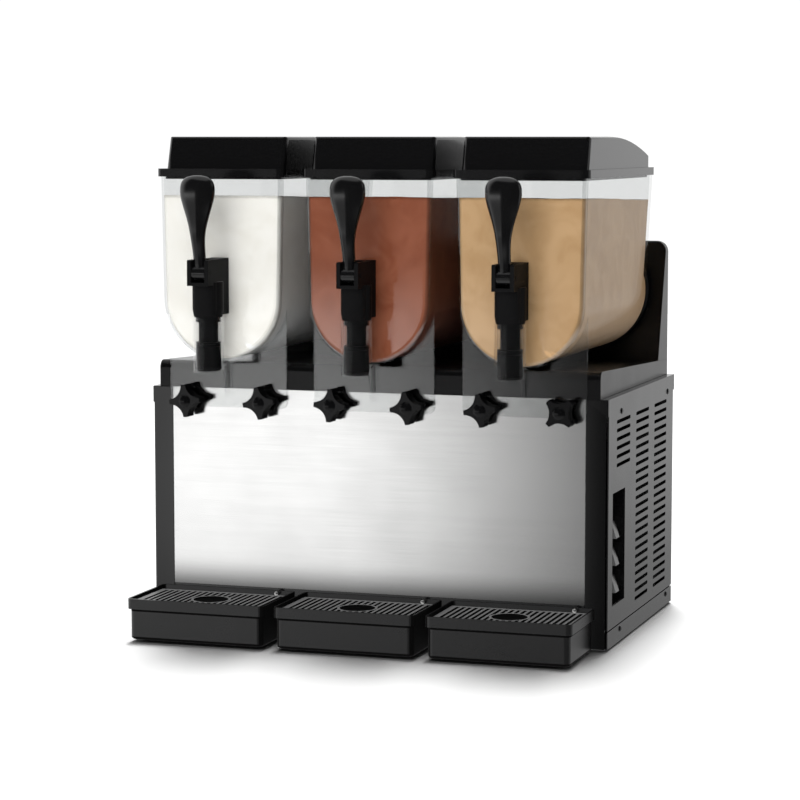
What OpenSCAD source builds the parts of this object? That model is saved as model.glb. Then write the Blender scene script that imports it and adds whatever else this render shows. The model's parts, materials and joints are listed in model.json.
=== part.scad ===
// Countertop slush machine with three clear bowls, piston taps and drip trays.
// Millimetres, +X to the right, +Y to the back, +Z up, origin at the bottom centre of the whole machine.

/* [Cabinet] */
// Width that the side panels add to the bowls' three pitches
side_margin = 15; // [10:1:60]
// Clearance between the gear motors and the back
motor_clear = 9; // [4:0.5:40]
// Height of the rubber feet
foot_h = 3; // [2:0.5:8]
// Diameter of the rubber feet
foot_d = 34; // [20:1:50]
// Distance of a foot's centre from the base's edges
foot_inset = 45; // [30:1:80]
// Height of the base rail
base_h = 21; // [18:1:40]
// Height of the side panels
side_h = 287; // [280:1:340]
// Thickness of the cabinet's sheet metal
sheet = 1.5; // [1:0.1:2.5]
// Width of the top return on a side panel
return_w = 22; // [16:1:40]
// Height of the front apron over the base's underside
apron_h = 54; // [50:1:60]
// Width of a front corner post
post_w = 28; // [20:1:40]
// Depth of a front corner post's plate
post_t = 4; // [3:0.5:8]
// Depth of a rear corner post's plate
rear_post_t = 7; // [4:0.5:10]
// Depth of a corner post's inner leg
post_leg = 22; // [12:1:40]
// Height of a corner post's cap
cap_h = 21; // [12:1:40]
// Step between a corner post's side and its cap
cap_step = 3; // [1:0.5:6]
// Radius of a panel screw's head
screw_r = 4.2; // [3:0.1:5]
// Height of a panel screw's head
screw_h = 1.4; // [1:0.1:2]
// Distance of the front panel screws from the front panel
screw_front = 70; // [50:1:90]
// Distance of the rear panel screws from the rear panel
screw_rear = 40; // [30:1:60]

/* [Vents] */
// Height of a vent slot
slot_h = 4.6; // [3:0.2:6]
// Vertical distance between vent slots
slot_step = 10.8; // [9:0.2:16]
// Length of a vent slot
slot_len = 72; // [50:1:76]
// Distance from one vent column to the next
column_step = 104; // [96:1:110]
// Distance of the first vent column's centre from the front panel
column_y = 81; // [70:1:90]
// Height of the lowest vent slot over the base rail
vent_low = 18; // [12:1:30]
// Slots in a column of the rear panel
rear_rows = 14; // [6:1:16]
// Plain strip of a side panel over its vents
vent_margin = 20; // [16:1:40]
// Clearance between the switch pocket and the vents over it
vent_clear = 30; // [20:1:40]

/* [Top deck] */
// Inset of the deck from the side panels
deck_inset = 10; // [6:0.5:14]
// Height of the deck at the front
deck_front_h = 34; // [30:1:50]
// Height of the deck at the back
deck_rear_h = 20; // [16:1:30]
// Wall of the deck and the rear housing
deck_wall = 3; // [2:0.25:4]
// Radius of the deck's front top edge
deck_edge_r = 10; // [4:1:16]

/* [Rear housing] */
// Inset of the rear housing from the side panels
housing_inset = 10; // [6:0.5:14]
// Height of the rear housing's top over the cabinet
housing_h = 179; // [170:1:200]
// Depth of the rear housing at its foot
housing_foot = 54; // [50:1:60]
// Depth of the rear housing at its top
housing_top_d = 10.5; // [8:0.5:14]
// Radius of the rear housing's top corners
housing_corner_r = 14; // [6:1:24]
// Chamfer along the rear housing's top edge
housing_edge = 4; // [2:0.5:6]

/* [Bowls] */
// Gap between neighbouring lids
lid_gap = 23; // [16:1:40]
// Step from the half width at a bowl's rim to the radius of its bottom
bowl_flare = 3; // [2:0.5:6]
// Wall of a bowl
bowl_wall = 3; // [2.5:0.25:3.5]
// Width of a bowl at its rim
bowl_top_w = 166; // [164:1:172]
// Height of the rim over the bowl's axis
bowl_rim_h = 152; // [140:1:180]
// Reach of a bowl ahead of the front panel
bowl_reach = 26; // [20:1:36]
// Length of a bowl at its axis
bowl_len = 329; // [318:1:331]
// Length that a bowl gains from its axis to its rim
bowl_lean = 22; // [15:1:26]
// Radius of a bowl's front edge
bowl_edge_r = 9; // [5:0.5:12]
// Clearance between a bowl and the deck
bowl_gap = 2; // [1:0.5:4]
// Length of the collar behind a bowl's back wall
collar_len = 35; // [33:1:37]
// Thickness of the front flange
flange_t = 3.5; // [2.5:0.25:5]
// Inset of the front flange's sides from the bowl's radius
flange_in = 1; // [1:0.5:5]
// Reach of the flange under the cabinet's top edge
flange_drop = 24; // [22:1:34]
// Radius of the flange's lower corners
flange_r = 8; // [4:0.5:14]
// Gap between the flange and the front panel
flange_gap = 0.5; // [0.3:0.1:1]
// Thickness of the gusset under a bowl's nose
gusset_t = 6; // [3:0.5:10]
// Radius of the round boss on a bowl's front
boss_r = 9; // [5:0.5:9.5]
// Height of that boss over the bowl's front
boss_h = 1.5; // [0.5:0.25:2.5]

/* [Lids] */
// Overhang of a lid's rim past the bowl
lid_over = 3; // [2:0.25:5]
// Height of a lid's rim
lid_rim_h = 10; // [7:0.5:14]
// Height of a lid's dome over its rim
lid_dome_h = 40; // [30:1:60]
// Inset of the dome's sides from the rim's edge
lid_ledge = 6; // [4:0.5:8]
// Inset of the dome's foot from the rim's front edge
lid_nose = 16; // [12:0.5:20]
// Lean of the dome's front over its height
lid_lean = 12; // [8:0.5:14]
// Radius of the dome's upper edges
lid_edge_r = 4; // [3:0.5:6]
// Radius of a lid's upright corners
lid_corner_r = 10; // [7:0.5:12]
// Wall of a lid
lid_wall = 2.5; // [2:0.25:4]
// Radius of the arc in which the dome falls to the back
lid_fall_r = 900; // [800:10:1400]
// Length of the dome's flat stretch
lid_flat = 128; // [100:1:160]
// Depth of the locating skirt inside the bowl
skirt_h = 8; // [5:0.5:12]
// Clearance of the locating skirt in the bowl
skirt_gap = 1; // [0.6:0.1:1.5]
// Half width of the arch in a lid's front edge
arch_half = 29; // [15:1:40]
// Rise of that arch
arch_rise = 3; // [1:0.25:4]

/* [Taps] */
// Distance of the tap's axis from the bowl's front
tap_reach = 41; // [39:0.5:46]
// Bore of the tap's clear tube
tube_bore = 32; // [30:0.5:34]
// Wall of the tap's clear tube
tube_wall = 3; // [2:0.25:3.5]
// Reach of the tube under the bowl's bottom
tube_drop = 10; // [6:1:20]
// Height of the tube
tube_h = 69; // [64:1:80]
// Bore of the passage from the bowl to the tube
port_bore = 20; // [14:1:22]
// Wall of that passage
port_wall = 4; // [3:0.25:5]
// Height of the passage's axis over the tube's mouth
port_z = 21; // [19:0.5:24]
// Running clearance of the piston and the seals
run_gap = 0.1; // [0.05:0.01:0.1]
// Clearance of pieces that move past each other
move_gap = 0.5; // [0.3:0.05:0.8]
// Height of the piston's plug
plug_h = 36; // [34:1:38]
// Height of the plug's lower face over the tube's mouth
plug_z = 2; // [1:0.5:4]
// Diameter of the piston's stem
stem_d = 24; // [20:0.5:26]
// Diameter of the piston's rod
rod_d = 12; // [9:0.5:13]
// Diameter of the piston's neck between the lever's prongs
neck_d = 8; // [7:0.25:8]
// Radius of the piston's head
head_r = 8.5; // [8:0.25:9]
// Height of the piston's head
head_h = 6; // [4:0.5:7]
// Radius of the prongs' round ends
nose_r = 4; // [3.5:0.25:4.5]
// Clearance of the prongs from the piston's neck
prong_gap = 0.6; // [0.5:0.05:0.8]
// Thickness of a seal ring
seal_t = 2.6; // [2:0.1:3]
// Distance of a seal ring from the plug's end
seal_in = 4; // [3:0.25:5]
// Length of the housing's spigot in the tube
spigot = 6; // [4:0.5:10]
// Height of the spring's chamber over the tube
chamber_h = 40; // [36:1:46]
// Thickness of the shelf over the chamber
shelf_t = 4; // [3:0.5:6]
// Height of the yoke's cheeks over the shelf
cheek_h = 28; // [26:1:34]
// Thickness of a cheek
cheek_t = 5; // [4:0.5:6]
// Distance of the lever's pin ahead of the piston
pin_reach = 25; // [24:0.5:27]
// Height of the lever's pin over the shelf
pin_z = 12; // [11.5:0.5:14]
// Diameter of the lever's pin
pin_d = 6; // [4:0.5:7]
// Width of the lever between the cheeks
lever_w = 17; // [16:0.5:20]
// Radius of the lever's hub
hub_r = 9; // [8:0.5:10]
// Reach of the yoke's cheeks ahead of the pin
yoke_nose = 9; // [8:0.5:12]
// Radius of the cheeks' corners
cheek_r = 3; // [1:0.5:4]
// Width of the block between the housing and the bowl
block_w = 22; // [18:1:24]
// Thickness of the yoke's back wall
yoke_wall = 4; // [3:0.5:6]
// Radius of the housing's round nose under the yoke
nose_barrel_r = 16; // [14:0.5:18]
// Reach of that nose's axis ahead of the piston
nose_barrel_y = 9; // [6:0.5:12]
// Diameter of the spring's wire
wire_d = 1.6; // [1.2:0.1:1.8]
// Turns of the spring
spring_turns = 6; // [4:1:7]

/* [Lever handle] */
// Height of the handle's top over the pin
handle_h = 120; // [100:1:140]
// Width of the handle at its widest
handle_w = 45; // [36:1:52]
// Thickness of the handle at its widest
handle_t = 27; // [20:1:36]
// Reach of the handle's axis ahead of the pin
handle_reach = 7; // [3:0.5:10]

/* [Knobs] */
// Distance of a knob from its bowl's centre
knob_x = 50; // [44:1:54]
// Depth of a knob's axis under the cabinet's top edge
knob_drop = 15.5; // [14:0.5:16]
// Radius of a knob over its points
knob_r = 20.5; // [17:0.5:22]
// Thickness of a knob's star
knob_t = 20; // [16:0.5:24]
// Width and depth of the groove round a knob's star
knob_groove = 4; // [3:0.25:6]
// Height of a knob's hub
knob_hub = 4; // [3:0.5:8]
// Diameter of a knob's stud
stud_d = 8; // [6:0.5:10]
// Length of the stud behind the front panel
stud_len = 14; // [9:0.5:20]
// Thickness of the clamp bar behind the front panel
clamp_t = 6; // [4:0.5:8]
// Height of the clamp bar
clamp_h = 22; // [18:1:24]

/* [Freezing] */
// Room between an evaporator drum and the bowl's inner wall
drum_room = 15; // [14:0.5:19]
// Wall of an evaporator drum
drum_wall = 2; // [1.5:0.25:3]
// Distance of the drum's face from the bowl's front
drum_front = 30; // [28:1:36]
// Thickness of the bowl gasket over its seat
gasket_t = 7; // [6:0.5:9]
// Length of the seat behind a drum
seat_len = 23; // [20:0.5:24]
// Width of the bowl gasket
gasket_w = 12; // [8:0.5:14]
// Clearance round a bowl's collar in the rear housing
pocket_gap = 3; // [2:0.25:4]
// Clearance of the auger from the drum
scrape_gap = 1.5; // [0.8:0.1:2]
// Clearance of the auger from the bowl
sweep_gap = 2.5; // [1.5:0.1:3]
// Thickness of the auger's blade
blade_t = 4; // [2.5:0.25:6]
// Pitch of the auger's helix
auger_pitch = 112; // [90:1:140]
// Turns of the auger's helix
auger_turns = 2.5; // [1:0.25:2.5]
// Diameter of the drive shaft
shaft_d = 12; // [8:0.5:14]
// Radius of the auger's hub
auger_hub_r = 15; // [12:0.5:20]
// Thickness of the auger's hub
auger_hub_t = 9; // [6:0.5:11]
// Radius of a gear motor
motor_r = 50; // [40:1:54]
// Depth of a gear motor
motor_d = 42; // [34:1:44]

/* [Drip trays] */
// Reach of the trays ahead of the front panel
tray_reach = 120; // [110:1:150]
// Gap between neighbouring trays
tray_space = 12; // [9:1:25]
// Height of a tray's rim over the counter
tray_top = 55; // [48:1:56]
// Height of a tray's rim band
tray_band = 17; // [12:0.5:18]
// Inset of a tray's body under its band
tray_step = 2; // [1:0.25:3]
// Wall of a tray
tray_wall = 2.5; // [2:0.25:3]
// Height of a tray's feet
tray_foot = 2.5; // [1.5:0.25:4]
// Gap between a tray and the front apron
tray_gap = 3; // [2:0.5:6]
// Depth of a tray's drip grid under its rim
grid_drop = 5; // [2:0.5:6]
// Thickness of a drip grid
grid_t = 4; // [3:0.25:5]
// Clearance round a drip grid
grid_gap = 0.6; // [0.4:0.1:1]
// Width of the ledge under a drip grid
ledge_w = 4; // [3:0.25:6]
// Bars in a drip grid
grid_bars = 20; // [12:1:22]
// Width of a grid's bar
bar_w = 3.6; // [2.5:0.1:4]
// Width of a grid's border
border_w = 6; // [4:0.5:8]
// Radius of the dish in a drip grid
dish_r = 22; // [14:1:26]
// Width of the ring round that dish
dish_ring = 3; // [2:0.5:5]
// Radius of a tray's corners
tray_corner = 5; // [4:0.5:8]
// Distance of a tray's stud from the bowl's centre
tray_stud_x = 67; // [40:1:72]
// Diameter of a tray's stud
tray_stud_d = 6; // [4:0.5:8]

/* [Switch pocket] */
// Width of the switch pocket
pocket_w = 65; // [50:1:70]
// Height of the switch pocket
pocket_h = 140; // [120:1:150]
// Depth of the switch pocket
pocket_d = 26; // [22:1:34]
// Height of the pocket's lower edge over the base rail
pocket_low = 29; // [20:1:40]
// Distance of the pocket's front edge from the front panel
pocket_y = 26; // [24:1:30]
// Vertical distance between switches
switch_step = 34; // [32:1:38]
// Height of a rocker
rocker_h = 25; // [20:1:27]
// Width of a rocker
rocker_w = 20; // [14:1:24]
// Tilt of a rocker from its middle
rocker_tilt = 8; // [4:1:10]

/* [Cooling plant] */
// Radius of the compressor
comp_r = 58; // [45:1:65]
// Height of the compressor
comp_h = 150; // [120:1:180]
// Thickness of the condenser's core
cond_t = 38; // [30:1:44]
// Width and height of the condenser's core
cond_size = 200; // [180:2:210]
// Radius of the condenser's fan
fan_r = 82; // [70:1:84]
// Blades of the condenser's fan
fan_blades = 5; // [4:1:7]
// Radius of the fan's hub
fan_hub = 18; // [14:1:24]
// Width of a fan blade
blade_w = 34; // [26:1:36]
// Clearance between the condenser and the rear posts' legs
cond_clear = 6; // [4:1:30]
// Distance of the cable gland from the left side
gland_side = 75; // [60:1:100]
// Height of the cable gland over the base rail
gland_up = 42; // [30:1:80]
// Reach of the cable gland behind the rear panel
gland_out = 12; // [8:1:20]
// Diameter of the cable gland's bore
gland_bore = 9; // [7:0.5:11]

/* [Hidden] */
$fn = 64;
station_pitch = bowl_top_w + 2 * lid_over + lid_gap;
machine_w = 3 * station_pitch + side_margin;
half_w = machine_w / 2;
top_half = bowl_top_w / 2;
bowl_r = top_half - bowl_flare;
bowl_in = bowl_r - bowl_wall;
bowl_y = -bowl_reach;
bowl_len_top = bowl_len + bowl_lean;
collar_end = bowl_len + collar_len;
collar_y = bowl_y + collar_end;
pocket_floor = collar_y + pocket_gap;
seat_front = pocket_floor - seat_len;
body_depth = seat_front + deck_wall + motor_d + motor_clear;
overall_d = tray_reach + body_depth + gland_out;
front_y = tray_reach - overall_d / 2;
base_top = foot_h + base_h;
cabinet_top = base_top + side_h;
apron_top = foot_h + apron_h;
panel_half = half_w - post_w;
rear_y = body_depth - rear_post_t;
skin = 1.2;
cut = 1;
seam = 0.3;
fit = 0.05;
deck_slope = (deck_front_h - deck_rear_h) / body_depth;
function deck_z(y) = cabinet_top + deck_front_h - deck_slope * y;

axis_z = cabinet_top + deck_front_h + bowl_gap + bowl_r;
rim_z = axis_z + bowl_rim_h;
flange_z = cabinet_top - flange_drop;
flange_y = -flange_gap - flange_t;
flange_half = bowl_r - flange_in;

tap_y = bowl_y - tap_reach;
tube_z = axis_z - bowl_r - tube_drop;
tube_top = tube_z + tube_h;
tube_r = tube_bore / 2 + tube_wall;
port_axis = tube_z + port_z;
plug_r = tube_bore / 2 - 3 * run_gap;
plug_bottom = tube_z + plug_z;
plug_top = plug_bottom + plug_h;
seal_r = tube_bore / 2 - run_gap - seal_t / 2;
chamber_r = stem_d / 2 + run_gap;
shelf_low = tube_top + chamber_h;
shelf_top = shelf_low + shelf_t;
stem_top = tube_top + spigot;
pin_y = tap_y - pin_reach;
pin_h = shelf_top + pin_z;
cheek_in = lever_w / 2 + move_gap;
cheek_out = cheek_in + cheek_t;
prong_in = neck_d / 2 + prong_gap;
prong_out = lever_w / 2 - move_gap;
handle_crown = 0.83;
crown_power = 2.6;
head_z = pin_h + nose_r + move_gap;

knob_z = cabinet_top - knob_drop;
stud_hole = stud_d / 2 + move_gap;

seat_r = bowl_in - gasket_t;
drum_r = bowl_in - drum_room;
drum_y = bowl_y + drum_front;
gasket_r = bowl_in - run_gap;
groove_d = 2;
auger_hub_gap = 2;
blade_in = drum_r + scrape_gap;
blade_out = bowl_in - sweep_gap;
hub_y = drum_y - auger_hub_gap - auger_hub_t;
shaft_r = shaft_d / 2;
motor_socket = motor_d * 0.8;
shaft_back = seat_front + deck_wall + motor_socket - move_gap;
motor_room = motor_r + 4;
shaft_nut = 4;

tray_back = -tray_gap;
tray_front = -tray_reach;
tray_half = (station_pitch - tray_space) / 2;
tray_lift = 0.5;
tray_z = tray_lift + tray_foot;
grid_top = tray_top - grid_drop;
grid_low = grid_top - grid_t;
grid_rear_gap = 8;

vent_rows = floor((side_h - vent_low - vent_margin) / slot_step);
short_rows = floor((side_h - vent_margin - pocket_low - pocket_h - vent_clear) / slot_step);
pocket_z = base_top + pocket_low;
switch_mid_z = pocket_z + pocket_h * 0.4;
switch_y = pocket_y + pocket_w * 0.6;
cond_x = half_w - sheet - 6;
cond_y = rear_y - post_leg - cond_clear - cond_size / 2;
cond_z = base_top + 20;
shroud_d = 36;
shroud_x = cond_x - cond_t - shroud_d;
fan_x = shroud_x + 12;
spindle_r = 4;
gland_x = gland_side - half_w;
gland_z = base_top + gland_up;

stations = [-station_pitch, 0, station_pitch];
knob_turns = [5, 8, -3, 7, 8, 45];

// Points on an arc round [cx, cy], from angle a0 to a1
function arc(cx, cy, r, a0, a1, n = 8) =
    [for (k = [0:n]) let (a = a0 + (a1 - a0) * k / n) [cx + r * cos(a), cy + r * sin(a)]];

// Smooth step from 0 to 1
function ease(t) = t * t * (3 - 2 * t);

// Faces of a closed tube of rings with as many points each, ends capped
function tube_faces(rings, sides) = concat(
    [for (k = [0:rings - 2], s = [0:sides - 1]) let (a = k * sides + s, b = k * sides + (s + 1) % sides)
        each [[a, b, a + sides], [b, b + sides, a + sides]]],
    [for (s = [1:sides - 2]) [0, s + 1, s]],
    [for (s = [1:sides - 2]) let (e = (rings - 1) * sides) [e, e + s, e + s + 1]]);

// A solid between two outlines with as many points each, counted anticlockwise from above
module loft(low, high) polyhedron(concat(low, high), turned(tube_faces(2, len(low))));

// The same faces, looking the other way
function turned(faces) = [for (f = faces) [f[0], f[2], f[1]]];

// Moves the cabinet's own frame, with y = 0 on the front panel, to the part's frame
module place() translate([0, front_y, 0]) children();

// The same, at one of the three bowls
module station(i) place() translate([stations[i - 1], 0, 0]) children();

// A box given by its low and high corners
module box(lo, hi) translate(lo) cube(hi - lo);

// A cylinder along Y, and one along X
module along_y(r, y0, y1) translate([0, y0, 0]) rotate([-90, 0, 0]) cylinder(r = r, h = y1 - y0);
module along_x(r, x0, x1) translate([x0, 0, 0]) rotate([0, 90, 0]) cylinder(r = r, h = x1 - x0);

// An outline in Y and Z, extruded along X
module side_prism(x0, x1) translate([x0, 0, 0]) rotate([90, 0, 90]) linear_extrude(x1 - x0) children();

// An outline in X and Z, extruded along Y
module front_prism(y0, y1) translate([0, y1, 0]) rotate([90, 0, 0]) linear_extrude(y1 - y0) children();

// Points of an oblong with its corners rounded
function round_points(x0, y0, x1, y1, r) = concat(arc(x0 + r, y0 + r, r, 180, 270),
    arc(x1 - r, y0 + r, r, 270, 360), arc(x1 - r, y1 - r, r, 0, 90), arc(x0 + r, y1 - r, r, 90, 180));

// A plan outline with its corners rounded
module round_plan(x0, y0, x1, y1, r) polygon(round_points(x0, y0, x1, y1, r));

// A vent slot along X with round ends, centred
module slot_outline() {
    square([slot_len - slot_h, slot_h], center = true);
    for (s = [-1, 1]) translate([s * (slot_len - slot_h) / 2, 0]) circle(d = slot_h, $fn = 24);
}

// A column of vent slots, from one row to another
module vent_column(row0, row1)
    for (k = [row0:row1]) translate([0, base_top + vent_low + k * slot_step]) slot_outline();

// Base: floor, rails and front apron in folded sheet
module base_chassis() color("#1b1b1c") place() {
    apron_half = panel_half - seam;
    box([-half_w, post_t, foot_h], [half_w, rear_y, foot_h + sheet]);
    box([-apron_half, seam, foot_h], [apron_half, body_depth - seam, foot_h + sheet]);
    box([-apron_half, seam, foot_h], [apron_half, seam + sheet, apron_top]);
    box([-apron_half, body_depth - seam - sheet, foot_h], [apron_half, body_depth - seam, base_top]);
    for (x = [-half_w, half_w - sheet]) box([x, post_t, foot_h], [x + sheet, rear_y, base_top]);
}

// Four rubber feet, chamfered at the counter
module rubber_feet() color("#101010") place()
    for (x = [-1, 1], y = [foot_inset, body_depth - foot_inset])
        translate([x * (half_w - foot_inset), y, 0])
            cylinder(d1 = foot_d - foot_h, d2 = foot_d, h = foot_h);

// Stainless front panel, with holes for the knobs' studs
module front_panel() color("#c9c9c9") place() difference() {
    box([-panel_half, 0, apron_top], [panel_half, skin, cabinet_top]);
    for (x = stations, s = [-1, 1])
        translate([x + s * knob_x, 0, knob_z]) along_y(stud_hole, -cut, skin + cut);
}

// Steel bar behind the front panel that the knobs' studs screw into
module clamp_bar() color("#8d8f91") place() difference() {
    reach = panel_half - post_t - cut;
    box([-reach, skin, knob_z - clamp_h / 2], [reach, skin + clamp_t, knob_z + clamp_h / 2]);
    for (x = stations, s = [-1, 1])
        translate([x + s * knob_x, 0, knob_z]) along_y(stud_d / 2 + seam, 0, skin + clamp_t + cut);
}

// A corner post on the right: plate, cap and inner leg, from one depth to another
module corner_post(y0, y1, leg_y) {
    box([panel_half, y0, foot_h], [half_w - cap_step, y1, cabinet_top]);
    box([panel_half, y0, cabinet_top - cap_h], [half_w, y1, cabinet_top]);
    box([panel_half, min(y0, leg_y), foot_h + sheet],
        [panel_half + post_t, max(y1, leg_y), cabinet_top - sheet - seam]);
}

// Four corner posts, two at the front and two at the back
module corner_posts() color("#161617") place() for (s = [0, 1]) mirror([s, 0, 0]) {
    corner_post(0, post_t, post_leg);
    corner_post(rear_y, body_depth, rear_y - post_leg);
}

// A side panel's outline in Y and Z, with its vents
module side_outline(with_pocket) difference() {
    translate([post_t, base_top]) square([rear_y - post_t, side_h]);
    for (k = [0:2]) translate([column_y + k * column_step, 0])
        vent_column(with_pocket && k == 0 ? vent_rows - short_rows : 0, vent_rows - 1);
    if (with_pocket) translate([pocket_y, pocket_z]) square([pocket_w, pocket_h]);
}

module side_panel(with_pocket) {
    side_prism(half_w - sheet, half_w) side_outline(with_pocket);
    box([half_w - return_w, post_t, cabinet_top - sheet], [half_w, rear_y, cabinet_top]);
}

module side_panel_right() color("#2a2a2b") place() side_panel(true);
module side_panel_left() color("#2a2a2b") place() mirror([1, 0, 0]) side_panel(false);

// Rear panel with vents, which also closes the rear housing
module rear_panel() color("#2a2a2b") place() front_prism(body_depth - sheet, body_depth) difference() {
    upper = half_w - housing_inset;
    r = housing_corner_r;
    top = cabinet_top + housing_h;
    union() {
        translate([-panel_half, base_top]) square([2 * panel_half, side_h]);
        polygon(concat([[-upper, cabinet_top], [upper, cabinet_top]], arc(upper - r, top - r, r, 0, 90),
            arc(r - upper, top - r, r, 90, 180)));
    }
    for (k = [-1.5:1.5]) translate([k * column_step, 0]) vent_column(vent_rows - rear_rows, vent_rows - 1);
    translate([gland_x, gland_z]) circle(r = gland_bore + seam);
}

// Screws of the side panels and the base rail
module panel_screws() color("#161617") place()
    for (s = [0, 1], y = [screw_front, body_depth - screw_rear],
        z = [base_top - 1.5 * screw_r, cabinet_top - return_w + screw_r / 2])
        mirror([s, 0, 0]) translate([half_w, y, z]) rotate([0, 90, 0]) rotate_extrude()
            polygon([[0, 0], [screw_r, 0], [screw_r, screw_h / 2], [screw_r * 0.7, screw_h], [0, screw_h]]);

// Black moulded deck under the bowls, open below
module top_deck() color("#151516") place() {
    half = half_w - deck_inset;
    back = body_depth - sheet;
    r = deck_edge_r;
    difference() {
        side_prism(-half, half) polygon(concat([[back, cabinet_top], [0, cabinet_top]],
            arc(r, deck_z(r) - r, r, 180, 90), [[back, deck_z(back)]]));
        side_prism(deck_wall - half, half - deck_wall) polygon([[deck_wall, cabinet_top - cut],
            [deck_wall, deck_z(0) - r], [r, deck_z(r) - deck_wall],
            [back - deck_wall, deck_z(back) - deck_wall], [back - deck_wall, cabinet_top - cut]]);
    }
}

// Outline in Y and Z of the rear housing, drawn in by a wall
module housing_side(wall) {
    back = body_depth - sheet;
    foot = back - housing_foot;
    top = cabinet_top + housing_h;
    over = wall > 0 ? cut : 0;
    front = back - housing_top_d + wall;
    polygon([[foot + wall, deck_z(foot) + wall], [front, top - wall - housing_edge],
        [front + housing_edge, top - wall], [back + over, top - wall], [back + over, deck_z(back) + wall]]);
}

// Rear housing with a round pocket and a drum seat for each bowl
module rear_housing() color("#151516") place() {
    half = half_w - housing_inset;
    top = cabinet_top + housing_h;
    pocket_r = bowl_r + pocket_gap;
    difference() {
        intersection() {
            union() {
                side_prism(-half, half) housing_side(0);
                for (x = stations) translate([x, 0, axis_z])
                    along_y(seat_r, pocket_floor, body_depth - sheet);
            }
            front_prism(0, body_depth)
                round_plan(-half, cabinet_top - housing_h, half, top, housing_corner_r);
        }
        for (x = stations) translate([x, 0, axis_z]) along_y(pocket_r, 0, pocket_floor);
        difference() {
            side_prism(deck_wall - half, half - deck_wall) housing_side(deck_wall);
            for (x = stations) translate([x, 0, axis_z])
                along_y(pocket_r + deck_wall, 0, pocket_floor + deck_wall);
        }
        for (x = stations) translate([x, 0, axis_z]) along_y(motor_room, pocket_floor - cut, body_depth);
    }
    for (x = stations) translate([x, 0, axis_z]) difference() {
        along_y(seat_r, seat_front, pocket_floor + deck_wall);
        along_y(motor_room, seat_front + deck_wall, body_depth);
        along_y(shaft_r + move_gap, seat_front - cut, body_depth);
    }
}

// Pancake gear motors behind the drums
module gear_motors() color("#55585c") place() for (x = stations)
    translate([x, seat_front + deck_wall, axis_z]) rotate([-90, 0, 0]) difference() {
        gearbox = motor_d * 0.55;
        union() {
            cylinder(r = motor_r, h = gearbox);
            cylinder(r = motor_r * 0.7, h = motor_d);
        }
        translate([0, 0, -cut]) cylinder(r = shaft_r + fit, h = motor_socket + cut);
    }

// Stainless evaporator drums, open at the seat, with a bearing for the shaft in the face
module evaporator_drums() color("#b4b6b8") place() for (x = stations) translate([x, drum_y, axis_z])
    rotate([-90, 0, 0]) rotate_extrude() {
        length = seat_front - drum_y;
        bearing = shaft_r + run_gap;
        sleeve = bearing + 2 * drum_wall;
        edge = 6;
        polygon(concat([[bearing, 0]], arc(drum_r - edge, edge, edge, 270, 360),
            [[drum_r, length], [drum_r - drum_wall, length], [drum_r - drum_wall, edge],
            [sleeve, edge], [sleeve, 4 * edge], [bearing, 4 * edge]]));
    }

// Ribbed gaskets between the seats and the bowls' collars
module bowl_gaskets() color("#1f1f20") place() for (x = stations)
    translate([x, collar_y - gasket_w - groove_d, axis_z]) rotate([-90, 0, 0]) rotate_extrude() {
        inner = seat_r + fit;
        rib = gasket_w / 5;
        groove_r = gasket_r - groove_d;
        polygon([[inner, 0], [gasket_r, 0], [gasket_r, rib], [groove_r, 1.5 * rib],
            [gasket_r, 2 * rib], [gasket_r, 3 * rib], [groove_r, 3.5 * rib],
            [gasket_r, 4 * rib], [gasket_r, gasket_w], [inner, gasket_w]]);
    }

// A bowl's outer or inner form, drawn in by a wall, round its axis
module bowl_form(wall) {
    r = bowl_r - wall;
    edge = bowl_edge_r - wall;
    over = wall > 0 ? cut : 0;
    rise = bowl_rim_h + over;
    half_top = r + bowl_flare * rise / bowl_rim_h;
    grow = 1 + (bowl_len_top / bowl_len - 1) * rise / bowl_rim_h;
    end = collar_end + over;
    rotate([-90, 0, 0]) rotate_extrude(angle = 180)
        polygon(concat([[0, wall]], arc(r - edge, wall + edge, edge, 270, 360), [[r, end], [0, end]]));
    rotate([90, 0, 0]) mirror([0, 0, 1]) rotate_extrude(angle = 180)
        polygon([[0, bowl_len / 2], [r, bowl_len / 2], [r, end], [0, end]]);
    plan = concat(arc(edge - r, wall + edge, edge, 180, 270), arc(r - edge, wall + edge, edge, 270, 360),
        [[r, bowl_len - wall], [-r, bowl_len - wall]]);
    loft([for (p = plan) [p[0], p[1], 0]], [for (p = plan) [p[0] * half_top / r, p[1] * grow, rise]]);
}

// Front flange and the gusset under the bowl's nose, let into half of the bowl's wall
module bowl_front() difference() {
    gusset_top = axis_z - bowl_r + bowl_wall;
    gusset_low = flange_z + 1.75 * flange_r;
    union() {
        front_prism(flange_y, flange_y + flange_t)
            round_plan(-flange_half, flange_z, flange_half, axis_z - bowl_edge_r, flange_r);
        side_prism(-gusset_t / 2, gusset_t / 2) polygon([[bowl_y + bowl_edge_r, gusset_top],
            [flange_y + cut, gusset_top], [flange_y + cut, gusset_low], [flange_y - 2 * cut, gusset_low]]);
    }
    translate([0, 0, axis_z]) along_y(bowl_r - bowl_wall / 2, bowl_y - cut, bowl_r);
}

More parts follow.
